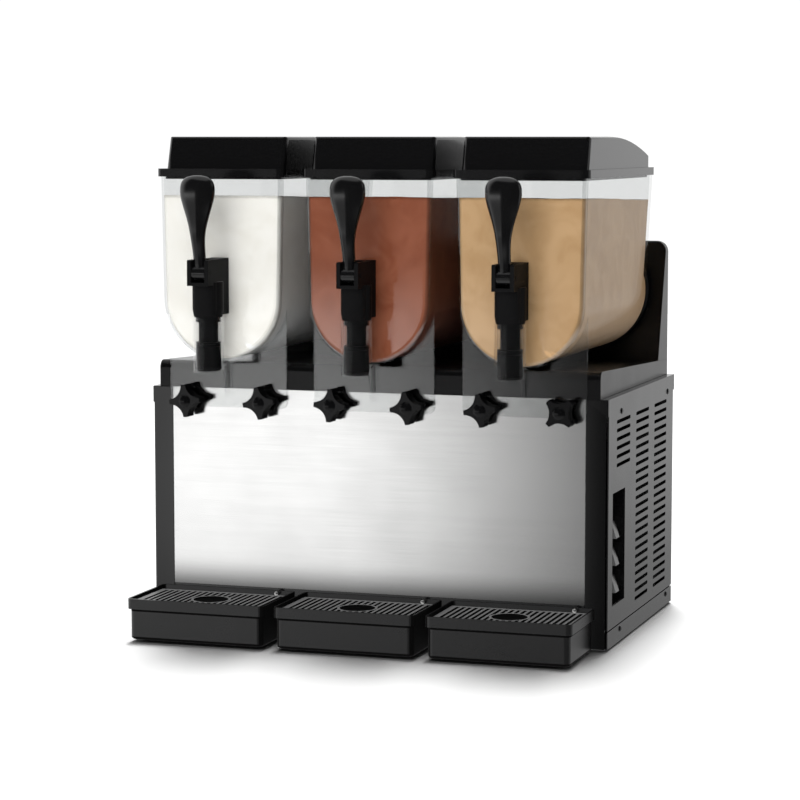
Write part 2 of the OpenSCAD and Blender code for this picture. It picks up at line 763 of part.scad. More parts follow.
// Clear bowl with its flange, gusset, boss and tap tube
module bowl() difference() {
    seat = bowl_y + bowl_wall / 2;
    union() {
        translate([0, bowl_y, axis_z]) difference() {
            bowl_form(0);
            bowl_form(bowl_wall);
        }
        bowl_front();
        translate([0, 0, rim_z - boss_r - cut]) along_y(boss_r, bowl_y - boss_h, seat);
        translate([0, tap_y, tube_z]) cylinder(r = tube_r, h = tube_h);
        translate([0, 0, port_axis]) along_y(port_bore / 2 + port_wall, tap_y, seat);
    }
    translate([0, tap_y, tube_z - cut]) cylinder(d = tube_bore, h = tube_h + 2 * cut);
    translate([0, 0, port_axis]) along_y(port_bore / 2, tap_y, bowl_y + bowl_edge_r);
    for (s = [-1, 1]) translate([s * knob_x, 0, knob_z]) along_y(stud_hole, flange_y - cut, 0);
}

// A lid's dome, drawn in by a wall: leaning plan outlines, crossed with its side view and front view
module lid_dome(wall) {
    foot = rim_z + lid_rim_h;
    low = foot - (wall > 0 ? lid_wall : 0) - cut;
    top = foot + lid_dome_h - wall;
    half = top_half + lid_over - lid_ledge - wall;
    back = bowl_y + bowl_len_top + lid_over - lid_ledge - wall;
    flat_end = bowl_y + lid_flat;
    turn = asin((back - lid_edge_r / 2 - flat_end) / (lid_fall_r - wall));
    r = lid_edge_r;
    corner = lid_corner_r - wall;
    function nose(z) = bowl_y - lid_over + lid_nose + wall + lid_lean * (z - foot) / lid_dome_h;
    function ring(z) = [for (p = round_points(-half, nose(z), half, back, corner)) [p[0], p[1], z]];
    intersection() {
        loft(ring(low), ring(top));
        side_prism(-bowl_top_w, bowl_top_w) polygon(concat([[nose(low) - cut, low - cut]],
            arc(nose(top) + r, top - r, r, 170, 90),
            arc(flat_end, top - lid_fall_r + wall, lid_fall_r - wall, 90, 90 - turn),
            [[back + cut, low - cut]]));
        front_prism(nose(low) - cut, back + cut) polygon(concat(
            [[-half - cut, low - cut], [-half - cut, top - r]], arc(r - half, top - r, r, 180, 90),
            arc(half - r, top - r, r, 90, 0), [[half + cut, top - r], [half + cut, low - cut]]));
    }
}

// Black lid: rim, hollow dome and locating skirt
module lid() difference() {
    front = bowl_y - lid_over;
    back = bowl_y + bowl_len_top + lid_over;
    half = top_half + lid_over;
    inset = bowl_wall + skirt_gap;
    skirt_back = bowl_y + bowl_len_top - inset - 2;
    arch_r = (arch_half * arch_half + arch_rise * arch_rise) / (2 * arch_rise);
    union() {
        translate([0, 0, rim_z]) linear_extrude(lid_rim_h) round_plan(-half, front, half, back, lid_corner_r);
        lid_dome(0);
        translate([0, 0, rim_z - skirt_h]) linear_extrude(skirt_h + cut) round_plan(inset - top_half,
            bowl_y + inset, top_half - inset, skirt_back, lid_corner_r);
    }
    lid_dome(lid_wall);
    translate([0, 0, rim_z - skirt_h - cut]) linear_extrude(skirt_h + cut + lid_rim_h - lid_wall) round_plan(
        inset + lid_wall - top_half, bowl_y + inset + lid_wall, top_half - inset - lid_wall,
        skirt_back - lid_wall, lid_corner_r - lid_wall);
    translate([0, 0, rim_z + arch_rise - arch_r]) along_y(arch_r, front - cut, bowl_y);
}

// Black tap housing: sleeve with a round nose, shelf, yoke and block, with the lever's pin as a second solid
module tap_housing() {
    cheek_top = shelf_top + cheek_h;
    block_gap = 2;
    block_low = tube_top + block_gap;
    spigot_r = tube_bore / 2 - fit;
    collar_h = 8;
    collar_in = tube_wall / 2;
    yoke_front = pin_y - yoke_nose;
    wall_y = tap_y + head_r + 2 * move_gap;
    yoke_back = wall_y + yoke_wall;
    difference() {
        union() {
            translate([0, tap_y, 0]) rotate_extrude() polygon([[0, tube_top - spigot],
                [spigot_r, tube_top - spigot], [spigot_r, tube_top], [tube_r - collar_in, tube_top],
                [tube_r, tube_top + collar_h], [tube_r, shelf_top], [0, shelf_top]]);
            translate([0, tap_y - nose_barrel_y, 0]) rotate_extrude() polygon([[0, block_low],
                [nose_barrel_r - collar_in, block_low], [nose_barrel_r, block_low + collar_h],
                [nose_barrel_r, shelf_top], [0, shelf_top]]);
            box([-cheek_out, yoke_front, shelf_low], [cheek_out, yoke_back, shelf_top]);
            box([-block_w / 2, tap_y, block_low], [block_w / 2, bowl_y, shelf_top]);
            box([-block_w / 2, wall_y, shelf_low], [block_w / 2, bowl_y, cheek_top]);
            box([-cheek_out, wall_y, shelf_low], [cheek_out, yoke_back, cheek_top]);
            for (s = [0, 1]) mirror([s, 0, 0]) side_prism(cheek_in, cheek_out) polygon(concat(
                [[yoke_back, shelf_low], [yoke_back, cheek_top]],
                arc(yoke_front + cheek_r, cheek_top - cheek_r, cheek_r, 90, 180), [[yoke_front, shelf_low]]));
        }
        translate([0, tap_y, tube_top - spigot - cut])
            cylinder(r = chamber_r, h = chamber_h + spigot + cut);
        translate([0, tap_y, shelf_low - cut]) cylinder(d = rod_d + 2 * run_gap, h = shelf_t + 2 * cut);
        translate([0, pin_y, pin_h]) along_x(pin_d / 2 + fit, -cheek_out - cut, cheek_out + cut);
    }
    translate([0, pin_y, pin_h]) along_x(pin_d / 2, -cheek_out - move_gap, cheek_out + move_gap);
}

// Half width or thickness of the handle at t from its neck, 0, to its top, 1
function pear(t, neck, full) = t < handle_crown ? neck + (full - neck) * ease(t / handle_crown)
    : full * pow(max(0.02, 1 - pow((t - handle_crown) / (1 - handle_crown), crown_power)), 1 / crown_power);

// Pear-shaped handle, lofted through ellipses
module handle() {
    sides = 20;
    rings = 18;
    crowding = 1.4;
    bend = 2.5;
    neck_z = hub_r / 2;
    neck_t = hub_r * 0.75;
    function centre(t) = pin_y - handle_reach * ease(min(1, t * bend));
    points = [for (k = [0:rings - 1], s = [0:sides - 1])
        let (t = 1 - pow(1 - k / (rings - 1), crowding), a = 360 * s / sides)
        [pear(t, prong_out, handle_w / 2) * cos(a), centre(t) + pear(t, neck_t, handle_t / 2) * sin(a),
            pin_h + neck_z + (handle_h - neck_z) * t]];
    polyhedron(points, turned(tube_faces(rings, sides)));
}

// Black tap lever: hub on the pin, handle above and a fork under the piston's head
module tap_lever() difference() {
    bridge = tap_y - prong_in - move_gap;
    union() {
        translate([0, pin_y, pin_h]) along_x(hub_r, -lever_w / 2, lever_w / 2);
        handle();
        box([-prong_out, pin_y, pin_h - nose_r], [prong_out, bridge, pin_h + nose_r]);
        for (s = [0, 1]) mirror([s, 0, 0]) {
            box([prong_in, pin_y, pin_h - nose_r], [prong_out, tap_y, pin_h + nose_r]);
            translate([0, tap_y, pin_h]) along_x(nose_r, prong_in, prong_out);
        }
    }
    translate([0, pin_y, pin_h]) along_x(pin_d / 2 + run_gap, -lever_w, lever_w);
}

// Piston with plug, stem, rod and head, and its two seal rings as separate solids
module tap_piston() translate([0, tap_y, 0]) {
    groove = seal_r - seal_t / 2 - fit;
    half = seal_t / 2 + fit;
    lower = plug_bottom + seal_in;
    upper = plug_top - seal_in;
    chamfer = 2;
    neck_low = shelf_top + chamfer;
    neck_r = neck_d / 2;
    rotate_extrude() polygon([[0, plug_bottom], [plug_r - chamfer, plug_bottom],
        [plug_r, plug_bottom + chamfer], [plug_r, lower - half], [groove, lower - half],
        [groove, lower + half], [plug_r, lower + half], [plug_r, upper - half], [groove, upper - half],
        [groove, upper + half], [plug_r, upper + half], [plug_r, plug_top], [stem_d / 2, plug_top],
        [stem_d / 2, stem_top], [rod_d / 2, stem_top], [rod_d / 2, neck_low], [neck_r, neck_low],
        [neck_r, head_z], [head_r, head_z], [head_r, head_z + head_h - chamfer],
        [head_r - chamfer, head_z + head_h], [0, head_z + head_h]]);
    for (z = [lower, upper]) translate([0, 0, z]) rotate_extrude() translate([seal_r, 0])
        circle(d = seal_t, $fn = 24);
}

// Spring between the stem's shoulder and the shelf, one unbroken wire
module tap_spring() {
    rings_per_turn = 8;
    sides = 6;
    rings = rings_per_turn * spring_turns + 1;
    mean_r = (chamber_r + rod_d / 2) / 2;
    low = stem_top + wire_d / 2 + seam;
    rise = shelf_low - wire_d / 2 - seam - low;
    points = [for (k = [0:rings - 1], s = [0:sides - 1])
        let (a = 360 * k / rings_per_turn, b = 360 * s / sides, r = mean_r + wire_d / 2 * cos(b))
        [r * cos(a), r * sin(a), low + rise * k / (rings - 1) + wire_d / 2 * sin(b)]];
    turn = rings_per_turn * sides;
    echo(least_spring_gap = min([for (a = [0:turn - 1], b = [turn - sides:turn + 2 * sides - 1])
        norm(points[a - a % sides + b] - points[a])]));
    translate([0, tap_y, 0]) polyhedron(points, tube_faces(rings, sides));
}

// Helical scraper with hub, two spokes and three ties between its turns
module auger() translate([0, hub_y, axis_z]) rotate([-90, 0, 0]) {
    per_turn = 24;
    rings = ceil(per_turn * auger_turns) + 1;
    run = auger_pitch * auger_turns;
    mid_r = (blade_in + blade_out) / 2;
    spoke = blade_in + 2;
    tie_r = (blade_out - blade_in) / 4;
    points = [for (k = [0:rings - 1], c = [[blade_in, -1], [blade_out, -1], [blade_out, 1], [blade_in, 1]])
        let (a = 360 * auger_turns * k / (rings - 1))
        [c[0] * cos(a), c[0] * sin(a), blade_t * (1 + c[1]) / 2 + run * k / (rings - 1)]];
    difference() {
        union() {
            polyhedron(points, tube_faces(rings, 4));
            cylinder(r = auger_hub_r, h = auger_hub_t);
            box([-spoke, -auger_hub_r / 2, 0], [spoke, auger_hub_r / 2, auger_hub_t]);
        }
        translate([0, 0, -cut]) cylinder(r = shaft_r + fit, h = auger_hub_t + 2 * cut);
    }
    for (a = [60, 180, 300]) rotate(a) translate([mid_r, 0, auger_pitch * a / 360 + blade_t / 2])
        cylinder(r = tie_r, h = auger_pitch * floor(auger_turns - a / 360), $fn = 24);
}

// Drive shaft with its front nut
module drive_shaft() translate([0, 0, axis_z]) {
    along_y(shaft_r, hub_y - shaft_nut, shaft_back);
    along_y(shaft_r + 3, hub_y - shaft_nut, hub_y);
}

// Outline of a knob's star with four points
module star(r) difference() {
    circle(r = r);
    for (k = [0:3]) rotate(45 + 90 * k) translate([knob_r * 1.5, 0]) circle(r = knob_r * 0.92);
}

// Star knob of two plates with a groove between them, a domed face, a hub and its stud
module knob(turn) translate([0, flange_y - seam, knob_z]) rotate([90, 0, 0]) {
    plate = (knob_t - knob_groove) / 2;
    hub_flare = 5;
    dome_r = knob_r * 0.6;
    dome_sink = knob_r * 0.4;
    reach = flange_t + flange_gap + seam + skin + stud_len;
    rotate(turn) translate([0, 0, knob_hub]) {
        linear_extrude(knob_t) star(knob_r - knob_groove);
        for (z = [0, knob_t - plate]) translate([0, 0, z]) linear_extrude(plate) star(knob_r);
    }
    cylinder(r = stud_d / 2 + hub_flare, h = knob_hub + cut);
    translate([0, 0, knob_hub + knob_t - cut]) rotate_extrude()
        polygon(concat([[0, 0]], arc(0, -dome_sink, dome_r, 35, 90)));
    translate([0, 0, -reach]) cylinder(d = stud_d, h = reach + knob_hub);
}

// Drip tray with its band, ledge, notch and feet
module drip_tray() {
    corner = tray_corner;
    foot_r = 5;
    foot_in = 12;
    foot_ends = [tray_front + 30, tray_back - 26];
    notch = tray_stud_d / 2 + move_gap;
    floor_z = tray_z + tray_wall;
    difference() {
        union() {
            translate([0, 0, tray_z]) linear_extrude(tray_top - tray_band - tray_z + cut)
                round_plan(tray_step - tray_half, tray_front + tray_step,
                    tray_half - tray_step, tray_back - tray_step, corner);
            translate([0, 0, tray_top - tray_band]) linear_extrude(tray_band)
                round_plan(-tray_half, tray_front, tray_half, tray_back, corner);
            for (x = [-1, 1], y = foot_ends)
                translate([x * (tray_half - foot_in), y, tray_lift])
                    cylinder(r = foot_r, h = tray_foot + cut);
        }
        translate([0, 0, grid_low]) linear_extrude(tray_top) round_plan(tray_wall - tray_half,
            tray_front + tray_wall, tray_half - tray_wall, tray_back - tray_wall, corner - tray_wall);
        translate([0, 0, floor_z]) linear_extrude(tray_top) round_plan(tray_wall + ledge_w - tray_half,
            tray_front + tray_wall + ledge_w, tray_half - tray_wall - ledge_w,
            tray_back - tray_wall - ledge_w, corner - tray_wall);
        box([tray_stud_x - notch, tray_back - tray_wall - cut, tray_top - notch - tray_stud_d / 2],
            [tray_stud_x + notch, tray_back + cut, tray_top + cut]);
    }
}

// Steel studs in the apron that locate the trays
module tray_studs() color("#d4d6d8") place() for (x = stations)
    translate([x + tray_stud_x, seam, tray_top - tray_stud_d / 2]) rotate([90, 0, 0]) rotate_extrude() {
        r = tray_stud_d / 2;
        shank = tray_gap + tray_wall + 5;
        polygon(concat([[0, 0], [r, 0]], arc(0, shank, r, 0, 90)));
    }

// Slotted drip grid with a round dish
module drip_grid() {
    half = tray_half - tray_wall - grid_gap;
    front = tray_front + tray_wall + grid_gap;
    back = tray_back - tray_wall - grid_rear_gap;
    inner = half - border_w;
    step = 2 * inner / (grid_bars + 1);
    mid = (front + back) / 2;
    corner = 2;
    difference() {
        translate([0, 0, grid_low + seam]) linear_extrude(grid_t)
            round_plan(-half, front, half, back, corner);
        difference() {
            for (k = [0:grid_bars]) box([k * step - inner + bar_w / 2, front + border_w, 0],
                [(k + 1) * step - inner - bar_w / 2, back - border_w, tray_top]);
            translate([0, mid, 0]) cylinder(r = dish_r + dish_ring, h = tray_top);
        }
        translate([0, mid, grid_low + seam + grid_t / 2]) cylinder(r = dish_r, h = grid_t);
    }
}

// Pocket in the right side for the switches
module switch_plate() color("#0d0d0e") place() difference() {
    wall = 2;
    out = half_w - sheet;
    box([out - pocket_d - wall, pocket_y - wall, pocket_z - wall],
        [out, pocket_y + pocket_w + wall, pocket_z + pocket_h + wall]);
    box([out - pocket_d, pocket_y, pocket_z], [half_w, pocket_y + pocket_w, pocket_z + pocket_h]);
    for (k = [-1:1]) translate([out - pocket_d, switch_y, switch_mid_z + k * switch_step])
        cube([4 * wall, rocker_w + 2 * move_gap, rocker_h + 6 * move_gap], center = true);
}

// A rocker, tilted about the axis along Y in the pocket's floor
module rocker(k) color("#222224") place()
    translate([half_w - sheet - pocket_d - 2, switch_y, switch_mid_z + k * switch_step])
        rotate([0, -rocker_tilt, 0]) front_prism(-rocker_w / 2, rocker_w / 2) {
            root = 7;
            root_half = 4;
            edge = 6.5;
            waist = 4.5;
            h = rocker_h / 2;
            polygon([[-root, -root_half], [1, -h], [edge, -h], [waist, 0], [edge, h], [1, h],
                [-root, root_half]]);
        }

module switch_1() rocker(1);
module switch_2() rocker(0);
module switch_3() rocker(-1);

// Domed compressor on three feet
module compressor() color("#1c1d20") place() translate([-half_w * 0.3, body_depth * 0.6, foot_h + sheet]) {
    foot = 14;
    foot_r = 10;
    dome = 30;
    translate([0, 0, foot]) rotate_extrude() polygon(concat([[0, 0]],
        arc(comp_r - dome, dome, dome, 270, 360), arc(comp_r - dome, comp_h - dome, dome, 0, 90),
        [[0, comp_h]]));
    for (k = [0:2]) rotate(120 * k) translate([comp_r * 0.6, 0, 0]) cylinder(r = foot_r, h = foot + dome);
}

// Finned condenser with its shroud, feet and fan motor
module condenser() color("#9a9c9e") place() translate([0, cond_y, cond_z + cond_size / 2]) {
    h = cond_size / 2;
    fins = 20;
    fin_step = cond_size / fins;
    fin_gap = 4;
    fin_d = 6;
    border = 8;
    core_x = cond_x - cond_t;
    wall = 2;
    strut_h = 10;
    motor_r = 24;
    motor_len = 28;
    foot_w = 20;
    floor_z = foot_h + sheet - cond_z - h;
    difference() {
        box([core_x, -h, -h], [cond_x, h, h]);
        for (k = [0:fins - 1]) box([cond_x - fin_d, (k + 0.5) * fin_step - h - fin_gap / 2, border - h],
            [cond_x + cut, (k + 0.5) * fin_step - h + fin_gap / 2, h - border]);
    }
    difference() {
        box([shroud_x, -h, -h], [core_x + cut, h, h]);
        box([shroud_x + wall, wall - h, wall - h], [core_x, h - wall, h - wall]);
        along_x(fan_r + 2 * wall, shroud_x - cut, core_x);
    }
    box([shroud_x - wall, -h, -strut_h], [shroud_x, h, strut_h]);
    along_x(motor_r, shroud_x - wall - motor_len, shroud_x - wall + cut);
    along_x(spindle_r, shroud_x - wall, fan_x + fan_hub / 2);
    for (y = [foot_w / 2 - h, h - 1.5 * foot_w])
        box([core_x, y, floor_z], [cond_x - fin_d, y + foot_w, cut - h]);
}

// Condenser fan with twisted blades
module condenser_fan() color("#2f3133") place() translate([fan_x, cond_y, cond_z + cond_size / 2]) {
    hub_half = 10;
    blade_thick = 2.4;
    root_angle = 62;
    washout = 28;
    difference() {
        union() {
            along_x(fan_hub, -hub_half, hub_half);
            for (k = [0:fan_blades - 1]) rotate([360 * k / fan_blades, 0, 0])
                linear_extrude(fan_r, twist = -washout, slices = 6, $fn = 4)
                    rotate(root_angle) square([blade_w, blade_thick], center = true);
        }
        along_x(spindle_r + fit, -blade_w, blade_w);
    }
}

// Cable gland in the rear panel: outer hexagon, dome and inner nut
module cable_gland() color("#121213") place() translate([gland_x, body_depth, gland_z]) rotate([-90, 0, 0])
    difference() {
        nut_t = 5;
        hex_r = gland_bore + 5;
        dome_r = gland_bore + 2;
        edge = 4;
        inner = -sheet - nut_t;
        union() {
            translate([0, 0, inner]) cylinder(r = gland_bore, h = cut - inner);
            translate([0, 0, inner]) cylinder(r = hex_r, h = nut_t, $fn = 6);
            cylinder(r = hex_r, h = gland_out / 2, $fn = 6);
            rotate_extrude() polygon(concat([[0, 0], [dome_r, 0]],
                arc(dome_r - edge, gland_out - edge, edge, 0, 90, 4), [[0, gland_out]]));
        }
        translate([0, 0, inner - cut]) cylinder(d = gland_bore, h = gland_out - inner + 2 * cut);
    }

module bowl_1() color("#e8eef0") station(1) bowl();
module bowl_2() color("#e8eef0") station(2) bowl();
module bowl_3() color("#e8eef0") station(3) bowl();

module lid_1() color("#141415") station(1) lid();
module lid_2() color("#141415") station(2) lid();
module lid_3() color("#141415") station(3) lid();

module tap_housing_1() color("#131314") station(1) tap_housing();
module tap_housing_2() color("#131314") station(2) tap_housing();
module tap_housing_3() color("#131314") station(3) tap_housing();

module tap_lever_1() color("#0f0f10") station(1) tap_lever();
module tap_lever_2() color("#0f0f10") station(2) tap_lever();
module tap_lever_3() color("#0f0f10") station(3) tap_lever();

module tap_piston_1() color("#17181a") station(1) tap_piston();
module tap_piston_2() color("#17181a") station(2) tap_piston();
module tap_piston_3() color("#17181a") station(3) tap_piston();

module tap_spring_1() color("#c4c6c8") station(1) tap_spring();
module tap_spring_2() color("#c4c6c8") station(2) tap_spring();
module tap_spring_3() color("#c4c6c8") station(3) tap_spring();

module auger_1() color("#e6e6e2") station(1) auger();
module auger_2() color("#e6e6e2") station(2) auger();
module auger_3() color("#e6e6e2") station(3) auger();

module drive_shaft_1() color("#b9bbbd") station(1) drive_shaft();
module drive_shaft_2() color("#b9bbbd") station(2) drive_shaft();
module drive_shaft_3() color("#b9bbbd") station(3) drive_shaft();

module drip_tray_1() color("#2b2b2c") station(1) drip_tray();
module drip_tray_2() color("#2b2b2c") station(2) drip_tray();
module drip_tray_3() color("#2b2b2c") station(3) drip_tray();

module drip_grid_1() color("#3a3a3b") station(1) drip_grid();
module drip_grid_2() color("#3a3a3b") station(2) drip_grid();
module drip_grid_3() color("#3a3a3b") station(3) drip_grid();

module knob_1() color("#0e0e0f") station(1) translate([-knob_x, 0, 0]) knob(knob_turns[0]);
module knob_2() color("#0e0e0f") station(1) translate([knob_x, 0, 0]) knob(knob_turns[1]);
module knob_3() color("#0e0e0f") station(2) translate([-knob_x, 0, 0]) knob(knob_turns[2]);
module knob_4() color("#0e0e0f") station(2) translate([knob_x, 0, 0]) knob(knob_turns[3]);
module knob_5() color("#0e0e0f") station(3) translate([-knob_x, 0, 0]) knob(knob_turns[4]);
module knob_6() color("#0e0e0f") station(3) translate([knob_x, 0, 0]) knob(knob_turns[5]);

base_chassis();
rubber_feet();
front_panel();
corner_posts();
side_panel_left();
side_panel_right();
rear_panel();
top_deck();
rear_housing();
clamp_bar();
panel_screws();
cable_gland();
switch_plate();
switch_1();
switch_2();
switch_3();
compressor();
condenser();
condenser_fan();
gear_motors();
evaporator_drums();
bowl_gaskets();
tray_studs();
bowl_1();
bowl_2();
bowl_3();
lid_1();
lid_2();
lid_3();
tap_housing_1();
tap_housing_2();
tap_housing_3();
tap_lever_1();
tap_lever_2();
tap_lever_3();
tap_piston_1();
tap_piston_2();
tap_piston_3();
tap_spring_1();
tap_spring_2();
tap_spring_3();
auger_1();
auger_2();
auger_3();
drive_shaft_1();
drive_shaft_2();
drive_shaft_3();
knob_1();
knob_2();
knob_3();
knob_4();
knob_5();
knob_6();
drip_tray_1();
drip_tray_2();
drip_tray_3();
drip_grid_1();
drip_grid_2();
drip_grid_3();
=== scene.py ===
"""Looks of a countertop slush machine: three clear bowls with piston taps over a steel-fronted cabinet."""

import json
import logging
import math
from collections.abc import Callable, Sequence
from dataclasses import dataclass, field
from enum import Enum

import bmesh
import bpy
from bmesh.types import BMesh
from bpy.types import Mesh, Object
from mathutils import Matrix, Vector


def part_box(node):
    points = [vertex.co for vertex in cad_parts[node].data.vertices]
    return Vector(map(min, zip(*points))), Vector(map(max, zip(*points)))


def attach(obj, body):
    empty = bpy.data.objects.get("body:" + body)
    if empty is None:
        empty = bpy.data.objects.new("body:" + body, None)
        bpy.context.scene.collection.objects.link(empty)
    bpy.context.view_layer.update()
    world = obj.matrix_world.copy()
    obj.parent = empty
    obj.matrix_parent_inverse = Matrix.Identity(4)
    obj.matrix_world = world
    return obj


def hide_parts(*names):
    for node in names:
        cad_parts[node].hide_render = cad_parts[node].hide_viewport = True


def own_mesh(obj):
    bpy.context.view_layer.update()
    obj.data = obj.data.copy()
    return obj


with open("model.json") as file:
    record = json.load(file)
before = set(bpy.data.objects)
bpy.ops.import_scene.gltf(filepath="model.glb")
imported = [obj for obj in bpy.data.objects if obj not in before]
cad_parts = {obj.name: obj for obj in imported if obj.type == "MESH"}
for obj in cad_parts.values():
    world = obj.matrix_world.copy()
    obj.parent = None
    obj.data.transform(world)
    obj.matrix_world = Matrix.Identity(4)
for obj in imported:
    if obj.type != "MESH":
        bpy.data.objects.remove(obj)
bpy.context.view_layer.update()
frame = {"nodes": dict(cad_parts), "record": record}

LOG = logging.getLogger("slush_machine")
MM = 0.001
FRONT_Y = -132.0
STATIONS = (-195.0, 0.0, 195.0)
AXIS_Z = 427.0
BOWL_Y = FRONT_Y - 26.0
TAP_Y = FRONT_Y - 67.0
BODY_OF = {node: body for body, nodes in frame["record"]["behaviour"]["bodies"].items() for node in nodes}
SLOT_OF = {part["node"]: part["material_slot"] for part in frame["record"]["subparts"]}

Colour = tuple[float, float, float]
Point = tuple[float, float, float]
Span = tuple[float, float]
Ring = list[bmesh.types.BMVert]


class Flavour(Enum):
    """The drink in a bowl, with its two tones."""

    MILK = ((0.82, 0.79, 0.735), (0.88, 0.855, 0.81))
    CHOCOLATE = ((0.215, 0.064, 0.032), (0.265, 0.088, 0.048))
    COFFEE = ((0.44, 0.27, 0.132), (0.51, 0.327, 0.172))


class Work(Enum):
    """What one solid does to another."""

    JOIN = "UNION"
    CUT = "DIFFERENCE"
    KEEP = "INTERSECT"


class Reach(Enum):
    """Which pieces a light reaches."""

    ONLY = "INCLUDE"
    ALL_BUT = "EXCLUDE"


def math_operator(operation: str, swapped: bool = False) -> "Callable[[Wire, Term], Wire]":
    """Makes an operator of Wire that adds a Math node.

    Args:
        operation: The Math node's operation.
        swapped: Whether the other term stands on the left.

    Returns:
        The method for the class.
    """
    def method(self: "Wire", other: "Term") -> "Wire":
        """Adds the Math node for both terms."""
        terms = (other, self) if swapped else (self, other)
        return self.math(operation, *terms)
    return method


class Wire:
    """An output socket of a node tree, on which Python's operators add Math nodes."""

    def __init__(self, maker: "NodeMaker", socket: bpy.types.NodeSocket) -> None:
        """Keeps the socket and the maker of its tree."""
        self.maker = maker
        self.socket = socket

    def math(self, operation: str, *terms: "Term") -> "Wire":
        """Adds a Math node.

        Args:
            operation: The Math node's operation.
            terms: Values or wires for its sockets, in order.

        Returns:
            The result's wire.
        """
        return self.maker.wire("ShaderNodeMath", {"operation": operation}, dict(enumerate(terms)))

    __add__ = math_operator("ADD")
    __radd__ = math_operator("ADD", swapped=True)
    __sub__ = math_operator("SUBTRACT")
    __rsub__ = math_operator("SUBTRACT", swapped=True)
    __mul__ = math_operator("MULTIPLY")
    __rmul__ = math_operator("MULTIPLY", swapped=True)
    __pow__ = math_operator("POWER")

    def between(self, low: float, high: float) -> "Wire":
        """Smooth step of this value, from 0 at low to 1 at high.

        Args:
            low: The value where the step starts.
            high: The value where it ends.

        Returns:
            The step's wire.
        """
        settings = {"interpolation_type": "SMOOTHSTEP"}
        span = {"Value": self, "From Min": low, "From Max": high}
        return self.maker.wire("ShaderNodeMapRange", settings, span)

    def past(self, low: float, high: float) -> "Wire":
        """Smooth step of a place in metres, from 0 at low to 1 at high in millimetres."""
        return self.between(low * MM, high * MM)


Term = float | Wire


class NodeMaker:
    """Adds nodes to one tree."""

    def __init__(self, tree: bpy.types.NodeTree) -> None:
        """Keeps the tree."""
        self.tree = tree

    def node(self, kind: str, settings: dict | None = None, inputs: dict | None = None) -> bpy.types.Node:
        """Adds a node.

        Args:
            kind: The node's type.
            settings: Its own properties, set first.
            inputs: Values or wires of its sockets, by name or number.

        Returns:
            The new node.
        """
        made = self.tree.nodes.new(kind)
        for name, value in (settings or {}).items():
            setattr(made, name, value)
        for key, value in (inputs or {}).items():
            for one in value if isinstance(value, list) else [value]:
                if isinstance(one, Wire):
                    self.tree.links.new(one.socket, made.inputs[key])
                else:
                    made.inputs[key].default_value = one
        return made

    def wire(self, kind: str, settings: dict | None = None, inputs: dict | None = None,
             output: int | str = 0) -> Wire:
        """Adds a node, as node() does, and returns the wire of one of its outputs."""
        return Wire(self, self.node(kind, settings, inputs).outputs[output])

    def blend(self, share: Term, first: Colour | Wire, second: Colour | Wire) -> Wire:
        """Mixes two colours by a share from 0 to 1."""
        ends = {k: v if isinstance(v, Wire) else (*v, 1.0) for k, v in ((6, first), (7, second))}
        return self.wire("ShaderNodeMix", {"data_type": "RGBA"}, {0: share, **ends}, 2)

    def place(self, stretch: Point = (1.0, 1.0, 1.0), tilt: float = 0.0) -> Wire:
        """Object coordinates, tilted and stretched.

        Args:
            stretch: Factor along each axis.
            tilt: Angle round Y in degrees, which comes first.

        Returns:
            The coordinates' wire.
        """
        coords = self.wire("ShaderNodeTexCoord", None, None, "Object")
        tilted = {"Vector": coords, "Rotation": (0.0, math.radians(tilt), 0.0)}
        turned = self.wire("ShaderNodeMapping", None, tilted)
        return self.wire("ShaderNodeMapping", None, {"Vector": turned, "Scale": stretch})

    def axes(self) -> tuple[Wire, Wire, Wire]:
        """Object coordinates along X, Y and Z.

        Returns:
            Three wires with places in metres.
        """
        coords = self.wire("ShaderNodeTexCoord", None, None, "Object")
        parts = self.node("ShaderNodeSeparateXYZ", None, {0: coords})
        return tuple(Wire(self, parts.outputs[k]) for k in range(3))

    def noise(self, where: Wire, size: float, detail: float = 2.0) -> Wire:
        """Soft noise from 0 to 1 whose features have a given size in millimetres."""
        inputs = {"Vector": where, "Scale": 1.0 / (size * MM), "Detail": detail}
        return self.wire("ShaderNodeTexNoise", None, inputs)

    def bump(self, height: Wire, depth: float) -> Wire:
        """A bumped normal, with the depth of the relief in millimetres."""
        inputs = {"Strength": 1.0, "Distance": depth * MM, "Height": height}
        return self.wire("ShaderNodeBump", None, inputs)

    def principled(self, **inputs: object) -> Wire:
        """Adds a Principled shader; underscores in a socket's name stand for spaces."""
        named = {key.replace("_", " "): value for key, value in inputs.items()}
        return self.wire("ShaderNodeBsdfPrincipled", None, named)


@dataclass(frozen=True)
class Finish:
    """A surface finish with a base colour and roughness."""

    name: str
    colour: Colour
    roughness: float

    def material(self) -> bpy.types.Material:
        """Makes the finish's material once.

        Returns:
            The material, which pieces of one finish share.
        """
        known = bpy.data.materials.get(self.name)
        if known:
            return known
        made = bpy.data.materials.new(self.name)
        made.use_nodes = True
        made.node_tree.nodes.clear()
        made.diffuse_color = (*self.colour, 1.0)
        maker = NodeMaker(made.node_tree)
        maker.node("ShaderNodeOutputMaterial", None, {"Surface": self.surface(maker)})
        return made

    def lighter(self, factor: float) -> Colour:
        """The base colour times a factor."""
        return tuple(min(1.0, channel * factor) for channel in self.colour)

    def hazed(self, factor: float, share: float) -> Colour:
        """A lighter and greyer base colour.

        Args:
            factor: What the base colour is multiplied by.
            share: How far it then moves towards grey, from 0 to 1.

        Returns:
            The new colour.
        """
        bright = self.lighter(factor)
        grey = sum(bright) / len(bright)
        return tuple(channel + share * (grey - channel) for channel in bright)

    def surface(self, maker: NodeMaker) -> Wire:
        """Adds the finish's shader."""
        raise NotImplementedError


